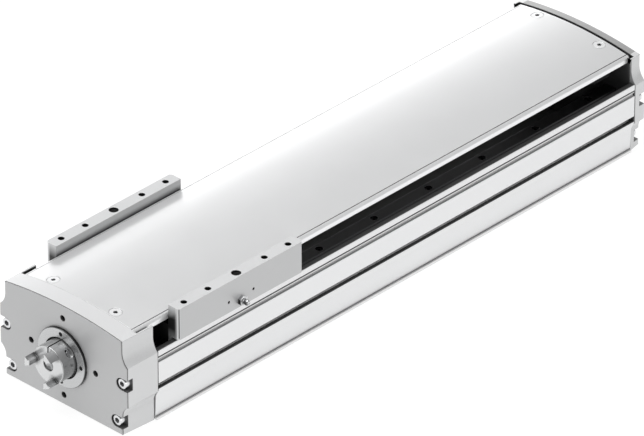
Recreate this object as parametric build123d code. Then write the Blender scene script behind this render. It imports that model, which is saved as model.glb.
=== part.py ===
from build123d import *
import math
import os

# Ball screw linear axis. Millimetres, +X from the drive end to the far end, +Z up.
# The origin is the middle of the profile's underside.

# Running and assembly clearances
running_gap = 0.3
shaft_gap = 0.05
seat_gap = 0.1
screw_gap = 0.2
bore_clearance = 1.0
hole_run_out = 1.0

# Profile, its widths built out from the nut bracket and its heights from the spindle's axis
axis_height = 52.0
profile_length = 632.0
bracket_half_width = 28.0
channel_side_gap = 8.0
rail_ledge_inner = 14.0
block_width = 34.0
block_side_gap = 1.2
wall_boss_width = 6.6
lip_width = 5.2
lip_rise = 5.2
lip_round = 1.5
foot_inset = 2.6
foot_height = 2.9
foot_groove_depth = 2.8
foot_groove_height = 1.1
lower_side_inset = 4.6
upper_side_inset = 3.4
shoulder_low = 26.0
shoulder_high = 33.2
slot_centre = 38.1
slot_opening = 5.2
slot_throat = 3.6
slot_pocket_width = 10.0
slot_pocket_depth = 6.0
slot_lip_chamfer = 0.9
side_groove_drop = 12.6
side_groove_width = 6.4
side_groove_depth = 2.2
side_rib_drop = 9.1
side_rib_width = 1.0
side_rib_inset = 0.5
channel_floor_drop = 30.0
rail_ledge_drop = 6.0
block_top = 24.0
slide_plate_thickness = 18.0
wall_boss_rise = 16.0
wall_boss_slope = 2.0
base_slot_inset = 8.0
chamber_wall = 4.0
channel_half_width = bracket_half_width + channel_side_gap
rail_offset = channel_half_width + rail_ledge_inner
wall_boss_inner = rail_offset + block_width / 2 + block_side_gap
lip_inner = wall_boss_inner + wall_boss_width
profile_half_width = lip_inner + lip_width
foot_half_width = profile_half_width - foot_inset
base_slot_offset = channel_half_width - base_slot_inset
channel_floor = axis_height - channel_floor_drop
rail_ledge = axis_height - rail_ledge_drop
wall_boss_top = rail_ledge + wall_boss_rise
slide_plate_bottom = rail_ledge + block_top
slide_plate_top = slide_plate_bottom + slide_plate_thickness
lip_top = slide_plate_bottom + lip_rise
side_groove_low = lip_top - side_groove_drop
side_groove_high = side_groove_low + side_groove_width
side_rib_low = lip_top - side_rib_drop
side_rib_high = side_rib_low + side_rib_width

# Cover sheet
cover_lip_gap = 5.2
cover_edge_roll = 3.6
cover_plate_gap = 6.0
cover_edge_height = 6.3
cover_rise = 5.1
cover_thickness = 2.5
cover_screw_offset = 39.1
cover_screw_inset_drive = 7.4
cover_screw_inset_far = 8.4
cover_screw_head_radius = 5.75
cover_screw_radius = 3.0
cover_screw_length = 12.0
cover_screw_hex = 4.0
cover_screw_socket_depth = 1.8
cover_sink_ring = 0.6
cover_sink_ring_depth = 0.6
cover_line_width = 0.5
cover_line_depth = 0.35
cover_half_width = lip_inner - cover_lip_gap
cover_flat_half_width = cover_half_width - cover_edge_roll
cover_edge_bottom = slide_plate_top + cover_plate_gap
cover_edge_top = cover_edge_bottom + cover_edge_height
cover_crown = cover_edge_top + cover_rise

# End caps
seam_plate_thickness = 1.0
seam_plate_inset = 1.2
drive_cap_thickness = 39.0
far_cap_thickness = 13.0
cap_draft = 1.4
cap_neck_inset = 6.9
cap_foot_inset = 6.6
cap_corner_drop = 0.9
cap_crown_drop = 0.2
cap_corner_draft_share = 0.2
cap_crown_draft_share = 0.5
cap_upper_bend_drop = 6.0
cap_shoulder_drop = 1.5
cap_shoulder_bottom = 32.4
cap_lower_bend = 21.0
cap_edge_round = 0.8
drive_cap_front_land = 20.2
far_cap_rim = 8.7
cover_end_gap = 1.8
cover_pocket_wall = 0.8
upper_screw_inset = 7.3
upper_screw_lift = 3.0
lower_screw_inset = 14.0
lower_screw_height = 13.5
cap_screw_radius = 3.0
cap_screw_head_radius = 5.0
cap_screw_head_height = 6.0
cap_screw_hex = 5.0
cap_screw_grip = 16.0
cap_screw_hole_run_out = 2.0
screw_pocket_radius = 6.25
screw_pocket_depth = 7.0
cap_neck_half_width = profile_half_width - cap_neck_inset
cap_foot_half_width = profile_half_width - cap_foot_inset
cap_corner_height = cover_edge_top - cap_corner_drop
cap_upper_bend = cover_edge_bottom - cap_upper_bend_drop
cap_crown = cover_crown - cap_crown_drop
cap_shoulder_top = lip_top - cap_shoulder_drop
cover_pocket_half_width = cap_neck_half_width - cover_pocket_wall
upper_screw = (profile_half_width - upper_screw_inset, axis_height + upper_screw_lift)
lower_screw = (profile_half_width - lower_screw_inset, lower_screw_height)

# Drive opening
drive_bore_radius = 20.5
collar_radius = 30.0
collar_proud = 3.0
collar_chamfer = 0.5
collar_seat_radius = 28.5
collar_seat_depth = 3.5
collar_screw_circle = 25.0
collar_screw_radius = 1.75
collar_screw_sink = 0.4
collar_screw_length = 9.0
collar_screw_hex = 1.8
collar_screw_socket_depth = 1.5
motor_hole_circle = 40.5
motor_hole_radius = 3.0
motor_hole_depth = 14.0

# Spindle
spindle_radius = 10.0
journal_radius = 6.0
bearing_seat_radius = 8.5
journal_end = -17.5
bearing_seat_start = 1.3
spindle_chamfer = 0.8
centre_hole_radius = 1.2
centre_hole_depth = 5.0
centre_cone_radius = 2.4
centre_cone_depth = 2.1

# Drive bearings, a pair side by side
drive_bearing_start = 11.0
drive_bearing_width = 12.0
drive_bearing_count = 2
drive_bearing_outer = 20.0
ring_wall = 3.2
ball_count = 10
ball_track_share = 0.35
lock_nut_width = 5.0
lock_nut_radius = 14.0
lock_nut_slots = 4
lock_nut_slot_width = 4.0
lock_nut_slot_depth = 2.0
seal_start = 1.6
seal_width = 2.6
retainer_thickness = 3.5
retainer_radius = 29.0
retainer_screw_circle = 24.6
retainer_screw_radius = 2.0
retainer_screw_grip = 9.0

# Far bearing and its block
far_block_length = 22.0
far_block_screw_wall = 8.9
far_block_neck_gap = 2.0
far_block_neck_rise = 1.0
far_bearing_inset = 6.0
far_bearing_width = 8.0
far_bearing_outer = 14.0
far_ring_wall = 2.4
snap_ring_thickness = 1.2
snap_ring_width = 2.1
snap_groove_depth = 0.5
far_block_screw_offset = 26.0
far_block_screw_spread = 14.0
far_block_half_width = cover_screw_offset + far_block_screw_wall
far_block_neck_half_width = channel_half_width - far_block_neck_gap
far_block_neck_top = slide_plate_bottom + far_block_neck_rise

# Coupling hub
hub_front = -19.0
hub_back = 1.0
hub_radius = 19.0
hub_chamfer = 0.6
jaw_length = 11.0
jaw_count = 3
jaw_first_angle = 2.5
jaw_inner_radius = 13.0
jaw_outer_width = 10.8
jaw_inner_width = 4.4
jaw_flank_hollow = 0.8
hub_slit = 1.2
hub_slit_angle = 90.0
clamp_screw_place = -6.5
clamp_screw_radius = 2.0
clamp_screw_offset = 12.5
clamp_screw_seat = 5.5
clamp_screw_head_radius = 3.5
clamp_screw_head_height = 4.0
clamp_screw_length = 15.5
clamp_screw_hex = 3.0
clamp_screw_socket_depth = 2.5

# Guide rails and blocks
rail_width = 15.0
rail_height = 15.0
rail_waist_depth = 1.3
rail_waist_start = 7.4
rail_waist_end = 11.9
rail_top_chamfer = 1.0
rail_hole_pitch = 72.5
rail_first_hole = 20.5
rail_hole_radius = 2.25
rail_head_radius = 3.75
rail_head_depth = 5.3
rail_screw_radius = 2.0
rail_screw_head_radius = 3.5
rail_screw_head_height = 4.0
rail_screw_hex = 3.0
rail_screw_length = 16.0
block_bottom = 4.5
block_body_length = 40.0
block_end_length = 8.0
block_end_inset = 0.8
block_offset = 47.0
block_hole_spread_y = 26.0
block_hole_spread_x = 26.0
block_thread_depth = 8.0
block_screw_radius = 2.0
block_screw_head_radius = 3.5
block_screw_head_height = 4.0
block_screw_hex = 3.0
block_screw_length = 18.0

# Slide
slide_length = 160.0
slide_rest_gap = 22.4
slide_travel_back = 12.0
slide_travel_out = 412.0
arm_cover_gap = 0.7
arm_lip_gap = 0.6
arm_overhang = 3.4
arm_lip_clearance = 1.3
arm_rise = 3.65
arm_corner_chamfer = 2.2
arm_hole_inset = 6.4
arm_thread_radius = 3.0
arm_thread_depth = 14.0
arm_outer_hole = 66.9
arm_inner_hole = 36.25
arm_centring_radius = 4.5
arm_centring_depth = 2.5
arm_small_hole_radius = 1.35
arm_small_hole_depth = 3.0
arm_small_hole_offset = 15.8
arm_small_hole_lift = 4.2
arm_inner = cover_half_width + arm_cover_gap
arm_web_outer = lip_inner - arm_lip_gap
arm_outer = profile_half_width + arm_overhang
arm_bottom = lip_top + arm_lip_clearance
arm_top = cover_crown + arm_rise
arm_hole_offset = arm_outer - arm_hole_inset

# Grease nipples
nipple_lift = 6.9
nipple_hex = 9.0
nipple_hex_length = 3.6
nipple_neck_radius = 2.3
nipple_ball_radius = 2.9
nipple_length = 10.0
nipple_thread_radius = 3.0
nipple_thread_length = 6.0
nipple_height = arm_bottom + nipple_lift
arm_small_hole_height = nipple_height + arm_small_hole_lift

# Ball nut and its bracket
nut_body_radius = 16.5
nut_flange_radius = 27.0
nut_flange_thickness = 10.0
nut_flange_flat = 16.5
nut_length = 55.0
nut_bore_gap = 0.4
nut_screw_circle = 21.8
nut_screw_angle = 30.0
nut_screw_radius = 2.0
nut_screw_head_radius = 3.4
nut_screw_head_height = 4.0
nut_screw_hex = 3.0
nut_screw_length = 12.0
bracket_drop = 21.0
bracket_length = 48.0
bracket_chamfer = 6.0
bracket_screw_inset = 5.5
bracket_screw_offset_x = 12.0
bracket_screw_radius = 3.0
bracket_screw_head_radius = 5.0
bracket_screw_head_height = 6.0
bracket_screw_hex = 5.0
bracket_screw_length = 24.0
bracket_screw_offset_y = bracket_half_width - bracket_screw_inset
bracket_bottom = axis_height - bracket_drop

# End buffers
buffer_radius = 7.0
buffer_offset = 40.0
buffer_gap = 2.2

# Places along X that follow from the sizes above
profile_start = -profile_length / 2
profile_end = profile_length / 2
drive_cap_back = profile_start - seam_plate_thickness
drive_cap_front = drive_cap_back - drive_cap_thickness
far_cap_inner = profile_end + seam_plate_thickness
far_cap_outer = far_cap_inner + far_cap_thickness
cover_start = drive_cap_front + drive_cap_front_land + running_gap
cover_end = far_cap_outer - far_cap_rim - cover_end_gap
cover_screw_drive_x = drive_cap_front + drive_cap_front_land + cover_screw_inset_drive
cover_screw_far_x = cover_end - cover_screw_inset_far
slide_start = profile_start + slide_rest_gap
slide_centre = slide_start + slide_length / 2
far_block_start = far_cap_inner - far_block_length
far_bearing_start = far_cap_inner - far_bearing_inset - far_bearing_width
drive_bearing_end = drive_cap_front + drive_bearing_start + drive_bearing_count * drive_bearing_width
nut_start = slide_centre - bracket_length / 2 - nut_flange_thickness


def both_sides(half):
    """Join a half section with its mirror image across the middle plane."""
    return half + mirror(half, about=Plane.YZ)


def bar(section, start, length):
    """Run a section, drawn in Y and Z, along X."""
    return Pos(start, 0, 0) * extrude(Plane.YZ * section, amount=length)


def rod(radius, start, length, y=0.0, z=axis_height):
    """Round bar along X."""
    return bar(Pos(y, z) * Circle(radius), start, length)


def hex_rod(across_flats, start, length, y, z):
    """Six-sided bar along X."""
    return bar(Pos(y, z) * RegularPolygon(across_flats / 2, 6, major_radius=False), start, length)


def post(radius, x, y, bottom, height):
    """Round bar along Z."""
    return Pos(x, y, bottom) * extrude(Circle(radius), amount=height)


def ring(outer, inner, start, length, y=0.0, z=axis_height):
    """Round bar along X with a bore."""
    return bar(Pos(y, z) * (Circle(outer) - Circle(inner)), start, length)


def on_circle(radius, angle):
    """Y and Z of a point on a circle round the spindle, from +Y towards +Z."""
    turn = math.radians(angle)
    return radius * math.cos(turn), axis_height + radius * math.sin(turn)


def arch_height(half_width, edge, crown, y):
    """Height of an arched line at y, for a circle through its edges and crown."""
    rise = crown - edge
    radius = (half_width**2 + rise**2) / (2 * rise)
    return crown - radius + math.sqrt(radius**2 - y**2)


def cap_screw_solid(radius, head_radius, head_height, hexagon, length, head_end, y, z, towards):
    """Socket screw along X, its head's outer face at head_end, pointing towards +1 or -1."""
    head_start = min(head_end, head_end + towards * head_height)
    shank_far = head_end + towards * (head_height + length)
    shank_start = min(head_end + towards * head_height, shank_far)
    screw = rod(head_radius, head_start, head_height, y, z) + rod(radius, shank_start, length, y, z)
    socket_depth = head_height / 2
    socket_start = min(head_end, head_end + towards * socket_depth)
    return screw - hex_rod(hexagon, socket_start, socket_depth, y, z)


def upright_screw(radius, head_radius, head_height, hexagon, length, x, y, head_top):
    """Socket screw along Z with its head's top at head_top."""
    screw = post(head_radius, x, y, head_top - head_height, head_height)
    screw += post(radius, x, y, head_top - head_height - length, length)
    socket_depth = head_height / 2
    socket = extrude(RegularPolygon(hexagon / 2, 6, major_radius=False), amount=socket_depth)
    return screw - Pos(x, y, head_top - socket_depth) * socket


def side_slot():
    """T-slot section that opens at the profile's side."""
    half_opening = slot_opening / 2
    mouth = Pos(profile_half_width - slot_throat / 2, slot_centre) * Rectangle(slot_throat, slot_opening)
    pocket_middle = profile_half_width - slot_throat - slot_pocket_depth / 2
    pocket = Pos(pocket_middle, slot_centre) * Rectangle(slot_pocket_depth, slot_pocket_width)
    lip = Polygon(
        (profile_half_width, slot_centre - half_opening),
        (profile_half_width - slot_lip_chamfer, slot_centre - half_opening),
        (profile_half_width, slot_centre - half_opening - slot_lip_chamfer),
        align=None,
    )
    return mouth + pocket + lip


def base_slot():
    """T-slot section that opens at the profile's underside."""
    mouth = Pos(base_slot_offset, slot_throat / 2) * Rectangle(slot_opening, slot_throat)
    pocket_middle = slot_throat + slot_pocket_depth / 2
    pocket = Pos(base_slot_offset, pocket_middle) * Rectangle(slot_pocket_width, slot_pocket_depth)
    return mouth + pocket


def profile_half_section():
    """Right half of the extruded profile."""
    low_face = profile_half_width - lower_side_inset
    high_face = profile_half_width - upper_side_inset
    groove_face = foot_half_width - foot_groove_depth
    groove_top = foot_height + foot_groove_height
    recess = profile_half_width - side_groove_depth
    rib = profile_half_width - side_rib_inset
    outline = Polygon(
        (0, 0), (foot_half_width, 0), (foot_half_width, foot_height), (groove_face, foot_height),
        (groove_face, groove_top), (low_face, groove_top), (high_face, shoulder_low),
        (profile_half_width, shoulder_high), (profile_half_width, side_groove_low),
        (recess, side_groove_low), (recess, side_rib_low), (rib, side_rib_low),
        (rib, side_rib_high), (recess, side_rib_high), (recess, side_groove_high),
        (profile_half_width, side_groove_high), (profile_half_width, lip_top),
        (lip_inner, lip_top), (lip_inner, wall_boss_top + wall_boss_slope),
        (wall_boss_inner, wall_boss_top),
        (wall_boss_inner, rail_ledge), (channel_half_width, rail_ledge),
        (channel_half_width, channel_floor), (0, channel_floor),
        align=None,
    )
    lip_corner = outline.vertices().sort_by_distance((profile_half_width, lip_top))[0]
    outline = fillet(lip_corner, lip_round)
    slot_inner = profile_half_width - slot_throat - slot_pocket_depth
    boss_inner = lower_screw[0] - 2 * chamber_wall
    upper_chamber = Polygon(
        (channel_half_width + chamber_wall, channel_floor + chamber_wall),
        (slot_inner - chamber_wall, channel_floor + chamber_wall),
        (slot_inner - chamber_wall, rail_ledge - chamber_wall),
        (channel_half_width + chamber_wall, rail_ledge - chamber_wall),
        align=None,
    )
    lower_chamber = Polygon(
        (channel_half_width + chamber_wall, chamber_wall),
        (boss_inner, chamber_wall),
        (boss_inner, channel_floor),
        (channel_half_width + chamber_wall, channel_floor),
        align=None,
    )
    middle_edge = base_slot_offset - slot_pocket_width / 2 - chamber_wall
    middle_chamber = Polygon(
        (0, chamber_wall), (middle_edge, chamber_wall),
        (middle_edge, channel_floor - chamber_wall), (0, channel_floor - chamber_wall),
        align=None,
    )
    return outline - side_slot() - base_slot() - upper_chamber - lower_chamber - middle_chamber


def rail_screw_places():
    """X of each rail screw along the profile."""
    count = int((profile_length - rail_first_hole) // rail_hole_pitch) + 1
    return [profile_start + rail_first_hole + k * rail_hole_pitch for k in range(count)]


def cap_screw_places():
    """Y and Z of the four screws of an end cap."""
    return [(side * y, z) for side in (-1, 1) for y, z in (upper_screw, lower_screw)]


def make_profile():
    body = bar(both_sides(profile_half_section()), profile_start, profile_length)
    for y, z in cap_screw_places():
        hole_length = cap_screw_grip + cap_screw_hole_run_out
        for start in (profile_start, profile_end - hole_length):
            body -= rod(cap_screw_radius + screw_gap / 2, start, hole_length, y, z)
    hole_depth = rail_screw_length - rail_height + rail_screw_head_height + rail_head_depth
    for x in rail_screw_places():
        for side in (-1, 1):
            hole_bottom = rail_ledge - hole_depth
            body -= post(rail_screw_radius + screw_gap / 2, x, side * rail_offset, hole_bottom, hole_depth)
    return body


def cap_outline(growth):
    """Outline of an end cap; growth is how far its drafted faces have opened."""
    neck = cap_neck_half_width + growth
    foot = cap_foot_half_width + growth
    corner = cap_corner_height - cap_corner_draft_share * growth
    crown = cap_crown + cap_crown_draft_share * growth
    bottom = cap_draft - growth
    wide = profile_half_width

    def bend(near, far, bend_height, shoulder_height):
        """Arc that leaves an upright face and ends on the wide face's corner."""
        reach = far - near
        rise = abs(shoulder_height - bend_height)
        radius = (reach**2 + rise**2) / (2 * reach)
        half_turn = math.asin(rise / radius) / 2
        middle_y = near + radius * (1 - math.cos(half_turn))
        middle_z = bend_height + math.copysign(radius * math.sin(half_turn), shoulder_height - bend_height)
        return middle_y, middle_z

    upper_y, upper_z = bend(neck, wide, cap_upper_bend, cap_shoulder_top)
    lower_y, lower_z = bend(foot, wide, cap_lower_bend, cap_shoulder_bottom)
    edges = [
        ThreePointArc((-neck, corner), (0, crown), (neck, corner)),
        Line((-foot, bottom), (foot, bottom)),
    ]
    for side in (-1, 1):
        edges += [
            Line((side * neck, corner), (side * neck, cap_upper_bend)),
            ThreePointArc(
                (side * neck, cap_upper_bend), (side * upper_y, upper_z), (side * wide, cap_shoulder_top)
            ),
            Line((side * wide, cap_shoulder_top), (side * wide, cap_shoulder_bottom)),
            ThreePointArc(
                (side * wide, cap_shoulder_bottom), (side * lower_y, lower_z), (side * foot, cap_lower_bend)
            ),
            Line((side * foot, cap_lower_bend), (side * foot, bottom)),
        ]
    return make_face(Wire.combine(edges)[0])


def cap_blank(open_end, closed_end):
    """Drafted cap body: smallest at its closed end, largest at the profile."""
    small = Pos(closed_end, 0, 0) * (Plane.YZ * cap_outline(0.0))
    large = Pos(open_end, 0, 0) * (Plane.YZ * cap_outline(cap_draft))
    return loft([small, large], ruled=True)


def cover_underside_section(gap):
    """Area below the cover's inner arch, lowered by a gap."""
    reach = cover_half_width - cover_thickness - gap
    edge = arch_height(cover_flat_half_width, cover_edge_top, cover_crown, reach) - cover_thickness - gap
    crown = cover_crown - cover_thickness - gap
    floor = cover_edge_bottom - 2 * cover_thickness
    return make_face(Wire.combine([
        ThreePointArc((-reach, edge), (0, crown), (reach, edge)),
        Line((reach, edge), (reach, floor)),
        Line((reach, floor), (-reach, floor)),
        Line((-reach, floor), (-reach, edge)),
    ])[0])


def cover_pocket(start, length):
    """Recess in a cap's top in which the cover and its rounded edges lie."""
    height = cap_crown - cover_edge_bottom + cover_thickness
    middle = cover_edge_bottom - seat_gap + height / 2
    area = Pos(0, middle) * Rectangle(2 * cover_pocket_half_width, height)
    return bar(area - cover_underside_section(seat_gap), start, length)


def screw_pockets(outer_face, inwards):
    """Four U-shaped pockets for the cap screws, open towards the sides."""
    start = min(outer_face, outer_face + inwards * screw_pocket_depth)
    pockets = []
    for y, z in cap_screw_places():
        side = math.copysign(1, y)
        run_out = profile_half_width
        run = Pos(y + side * run_out / 2, z) * Rectangle(run_out, 2 * screw_pocket_radius)
        pockets.append(bar(Pos(y, z) * Circle(screw_pocket_radius) + run, start, screw_pocket_depth))
    return pockets


def cover_screw_place(x, side):
    """Location on the arch, its Z axis square to the sheet."""
    rise = cover_crown - cover_edge_top
    radius = (cover_flat_half_width**2 + rise**2) / (2 * rise)
    lean = math.degrees(math.asin(cover_screw_offset / radius))
    height = arch_height(cover_flat_half_width, cover_edge_top, cover_crown, cover_screw_offset)
    return Pos(x, side * cover_screw_offset, height) * Rot(-side * lean, 0, 0)


def cover_screw_hole(place):
    """Threaded hole below a cover screw."""
    depth = cover_screw_length + hole_run_out
    return place * Pos(0, 0, -depth) * extrude(Circle(cover_screw_radius + screw_gap / 2), amount=depth)


def make_drive_end_cap():
    """Cast cap that holds the drive bearings, the collar and the motor's screw holes."""
    cap = cap_blank(drive_cap_back, drive_cap_front)
    front_edges = cap.faces().sort_by(Axis.X)[0].outer_wire().edges()
    cap = fillet(front_edges, cap_edge_round)
    pocket_start = drive_cap_front + drive_cap_front_land
    cap -= cover_pocket(pocket_start, drive_cap_thickness)
    for pocket in screw_pockets(drive_cap_front, 1):
        cap -= pocket
    for y, z in cap_screw_places():
        cap -= rod(cap_screw_radius + screw_gap, drive_cap_front, drive_cap_thickness, y, z)
    cap -= rod(drive_bore_radius, drive_cap_front, drive_bearing_start)
    cap -= rod(drive_bearing_outer, drive_cap_front, drive_cap_thickness)
    retainer_start = drive_cap_back - retainer_thickness
    cap -= rod(retainer_radius + seat_gap, retainer_start, retainer_thickness)
    cap -= rod(collar_seat_radius + seat_gap, drive_cap_front, collar_seat_depth)
    for quarter in range(4):
        y, z = on_circle(motor_hole_circle, 90 * quarter)
        cap -= rod(motor_hole_radius, drive_cap_front, motor_hole_depth, y, z)
        y, z = on_circle(collar_screw_circle, 90 * quarter)
        cap -= rod(collar_screw_radius, drive_cap_front, collar_screw_length, y, z)
        y, z = on_circle(retainer_screw_circle, 45 + 90 * quarter)
        thread_start = drive_bearing_end - retainer_screw_grip - hole_run_out
        cap -= rod(retainer_screw_radius, thread_start, drive_cap_thickness, y, z)
    for side in (-1, 1):
        cap -= cover_screw_hole(cover_screw_place(cover_screw_drive_x, side))
    return cap


def make_far_end_cap():
    cap = cap_blank(far_cap_inner, far_cap_outer)
    outer_edges = cap.faces().sort_by(Axis.X)[-1].outer_wire().edges()
    cap = fillet(outer_edges, cap_edge_round)
    cap -= cover_pocket(far_cap_inner, far_cap_thickness - far_cap_rim)
    for pocket in screw_pockets(far_cap_outer, -1):
        cap -= pocket
    for y, z in cap_screw_places():
        cap -= rod(cap_screw_radius + screw_gap, far_cap_inner, far_cap_thickness, y, z)
    for y, z in far_block_screw_places():
        cap -= rod(cap_screw_radius + screw_gap, far_cap_inner, far_cap_thickness, y, z)
        head_start = far_cap_outer - screw_pocket_depth
        cap -= rod(cap_screw_head_radius + screw_gap, head_start, screw_pocket_depth, y, z)
    return cap


def make_seam_plate(start):
    """Thin dark plate between a cap and the profile that also closes the inside, up to the cover."""
    wide = profile_half_width - seam_plate_inset
    low = profile_half_width - lower_side_inset - seam_plate_inset
    neck = cap_neck_half_width - seam_plate_inset
    half = Polygon(
        (0, seam_plate_inset), (low, seam_plate_inset), (low, shoulder_low), (wide, shoulder_high),
        (wide, lip_top - seam_plate_inset), (neck, lip_top - seam_plate_inset),
        (neck, cover_edge_bottom - seat_gap), (0, cover_edge_bottom - seat_gap),
        align=None,
    )
    section = both_sides(half) + cover_underside_section(seat_gap)
    plate = bar(section, start, seam_plate_thickness)
    plate -= rod(spindle_radius + bore_clearance, start, seam_plate_thickness)
    for y, z in cap_screw_places():
        plate -= rod(cap_screw_radius + screw_gap, start, seam_plate_thickness, y, z)
    return plate


def make_far_seam_plate():
    """Seam plate of the far end, let out round the bearing block."""
    plate = make_seam_plate(profile_end)
    section = far_block_section()
    for shift_y, shift_z in ((-1, 0), (1, 0), (0, -1), (0, 1)):
        grown = Pos(shift_y * seat_gap, shift_z * seat_gap) * section
        plate -= bar(grown, profile_end, seam_plate_thickness)
    return plate


def make_cover():
    """Arched sheet with rolled edges and a fine line where each roll begins."""
    flat = cover_flat_half_width
    bend = cover_edge_roll
    outer = cover_half_width
    inner = outer - cover_thickness
    inner_edge = arch_height(flat, cover_edge_top, cover_crown, inner) - cover_thickness
    turn = bend * (1 - math.sqrt(0.5))
    edges = [
        ThreePointArc((-flat, cover_edge_top), (0, cover_crown), (flat, cover_edge_top)),
        ThreePointArc((-inner, inner_edge), (0, cover_crown - cover_thickness), (inner, inner_edge)),
    ]
    for side in (-1, 1):
        edges += [
            ThreePointArc(
                (side * flat, cover_edge_top),
                (side * (outer - turn), cover_edge_top - turn),
                (side * outer, cover_edge_top - bend),
            ),
            Line((side * outer, cover_edge_top - bend), (side * outer, cover_edge_bottom)),
            Line((side * outer, cover_edge_bottom), (side * inner, cover_edge_bottom)),
            Line((side * inner, cover_edge_bottom), (side * inner, inner_edge)),
        ]
    section = make_face(Wire.combine(edges)[0])
    for side in (-1, 1):
        section -= Pos(side * flat, cover_edge_top) * Rectangle(cover_line_width, 2 * cover_line_depth)
    cover = bar(section, cover_start, cover_end - cover_start)
    for x in (cover_screw_drive_x, cover_screw_far_x):
        for side in (-1, 1):
            place = cover_screw_place(x, side)
            sink = countersink(screw_gap, cover_thickness + 2 * hole_run_out)
            cover -= place * Pos(0, 0, -cover_thickness / 2) * sink
            seat = extrude(Circle(cover_screw_head_radius + cover_sink_ring), amount=2 * hole_run_out)
            cover -= place * Pos(0, 0, -cover_sink_ring_depth) * seat
    return cover


def countersink(gap, height):
    """Cone that a cover screw's head fills, widened by a gap and run out above."""
    slope = (cover_screw_head_radius - cover_screw_radius) / cover_thickness
    low = cover_screw_radius + gap - slope
    high = low + slope * height
    return Cone(low, high, height)


def make_cover_screws():
    screws = []
    for x in (cover_screw_drive_x, cover_screw_far_x):
        for side in (-1, 1):
            head = Pos(0, 0, -cover_thickness / 2) * Cone(
                cover_screw_radius, cover_screw_head_radius, cover_thickness
            )
            shank = extrude(Circle(cover_screw_radius), amount=-cover_screw_length)
            hexagon = RegularPolygon(cover_screw_hex / 2, 6, major_radius=False)
            socket = extrude(hexagon, amount=-cover_screw_socket_depth)
            screws.append(cover_screw_place(x, side) * (head + shank - socket))
    return Compound(children=screws)


def make_cap_screws(outer_face, towards, cap_thickness):
    """Four screws of one end cap."""
    under_head = screw_pocket_depth - cap_screw_head_height
    length = cap_thickness + seam_plate_thickness + cap_screw_grip - screw_pocket_depth
    head_end = outer_face + towards * under_head
    return Compound(children=[
        cap_screw_solid(
            cap_screw_radius, cap_screw_head_radius, cap_screw_head_height, cap_screw_hex,
            length, head_end, y, z, towards,
        )
        for y, z in cap_screw_places()
    ])


def make_collar():
    """Stepped collar: a proud flange that centres the motor, seated in the cap's face."""
    start = drive_cap_front - collar_proud
    collar = ring(collar_radius, drive_bore_radius, start, collar_proud)
    rim = collar.faces().sort_by(Axis.X)[0].outer_wire().edges()
    collar = chamfer(rim, collar_chamfer)
    collar += ring(collar_seat_radius, drive_bore_radius, drive_cap_front, collar_seat_depth)
    for quarter in range(4):
        y, z = on_circle(collar_screw_circle, 90 * quarter)
        collar -= rod(collar_screw_radius + screw_gap, start, collar_proud + collar_seat_depth, y, z)
    return collar


def make_collar_screws():
    start = drive_cap_front - collar_proud + collar_screw_sink
    length = collar_screw_length + collar_proud - collar_screw_sink
    screws = []
    for quarter in range(4):
        y, z = on_circle(collar_screw_circle, 90 * quarter)
        screw = rod(collar_screw_radius, start, length, y, z)
        screws.append(screw - hex_rod(collar_screw_hex, start, collar_screw_socket_depth, y, z))
    return Compound(children=screws)


def make_spindle():
    """Ground shaft: drive journal, bearing seat, screw part and far journal."""
    front = drive_cap_front
    far_end = far_bearing_start + far_bearing_width + 2 * snap_ring_thickness
    seat_start = front + bearing_seat_start
    screw_start = drive_bearing_end + shaft_gap
    far_start = far_bearing_start - shaft_gap
    shaft = rod(journal_radius, front + journal_end, seat_start - front - journal_end)
    shaft += rod(bearing_seat_radius, seat_start, screw_start - seat_start)
    shaft += rod(spindle_radius, screw_start, far_start - screw_start)
    shaft += rod(journal_radius, far_start, far_end - far_start)
    tip = shaft.faces().sort_by(Axis.X)[0].outer_wire().edges()
    shaft = chamfer(tip, spindle_chamfer)
    groove_start = far_bearing_start + far_bearing_width
    groove_floor = journal_radius - snap_groove_depth
    shaft -= ring(spindle_radius, groove_floor, groove_start, snap_ring_thickness)
    shaft -= rod(centre_hole_radius, front + journal_end, centre_hole_depth)
    cone = Cone(centre_hole_radius, centre_cone_radius, centre_cone_depth)
    return shaft - Pos(front + journal_end + centre_cone_depth / 2, 0, axis_height) * Rot(0, -90, 0) * cone


def bearing_ring(start, width, outer, inner, ball_radius, ball_circle):
    """One ring of a ball bearing with its track turned in."""
    blank = ring(outer, inner, start, width)
    track = Torus(ball_circle, ball_radius + shaft_gap)
    return blank - Pos(start + width / 2, 0, axis_height) * Rot(0, 90, 0) * track


def bearing_sizes(outer, seat, wall):
    """Ball radius and ball circle of a bearing from its rings."""
    inner_top = seat + wall
    outer_bottom = outer - wall
    ball_circle = (inner_top + outer_bottom) / 2
    ball_radius = (outer_bottom - inner_top) / 2 + wall * ball_track_share
    return ball_radius, ball_circle


def bearing_parts(start, width, outer, seat, wall):
    """Outer ring, inner ring and balls of one deep groove bearing."""
    ball_radius, ball_circle = bearing_sizes(outer, seat, wall)
    outer_ring = bearing_ring(start, width, outer - shaft_gap, outer - wall, ball_radius, ball_circle)
    inner_ring = bearing_ring(start, width, seat + wall, seat + shaft_gap, ball_radius, ball_circle)
    balls = []
    for k in range(ball_count):
        y, z = on_circle(ball_circle, 360 / ball_count * k)
        balls.append(Pos(start + width / 2, y, z) * Sphere(ball_radius))
    return outer_ring, inner_ring, balls


def make_lock_nut():
    start = drive_cap_front + drive_bearing_start - lock_nut_width - shaft_gap
    nut = ring(lock_nut_radius, bearing_seat_radius + shaft_gap, start, lock_nut_width)
    for k in range(lock_nut_slots):
        notch = Pos(start + lock_nut_width / 2, lock_nut_radius, 0) * Box(
            lock_nut_width, 2 * lock_nut_slot_depth, lock_nut_slot_width
        )
        nut -= Pos(0, 0, axis_height) * Rot(45 + 90 * k, 0, 0) * notch
    return nut


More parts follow.
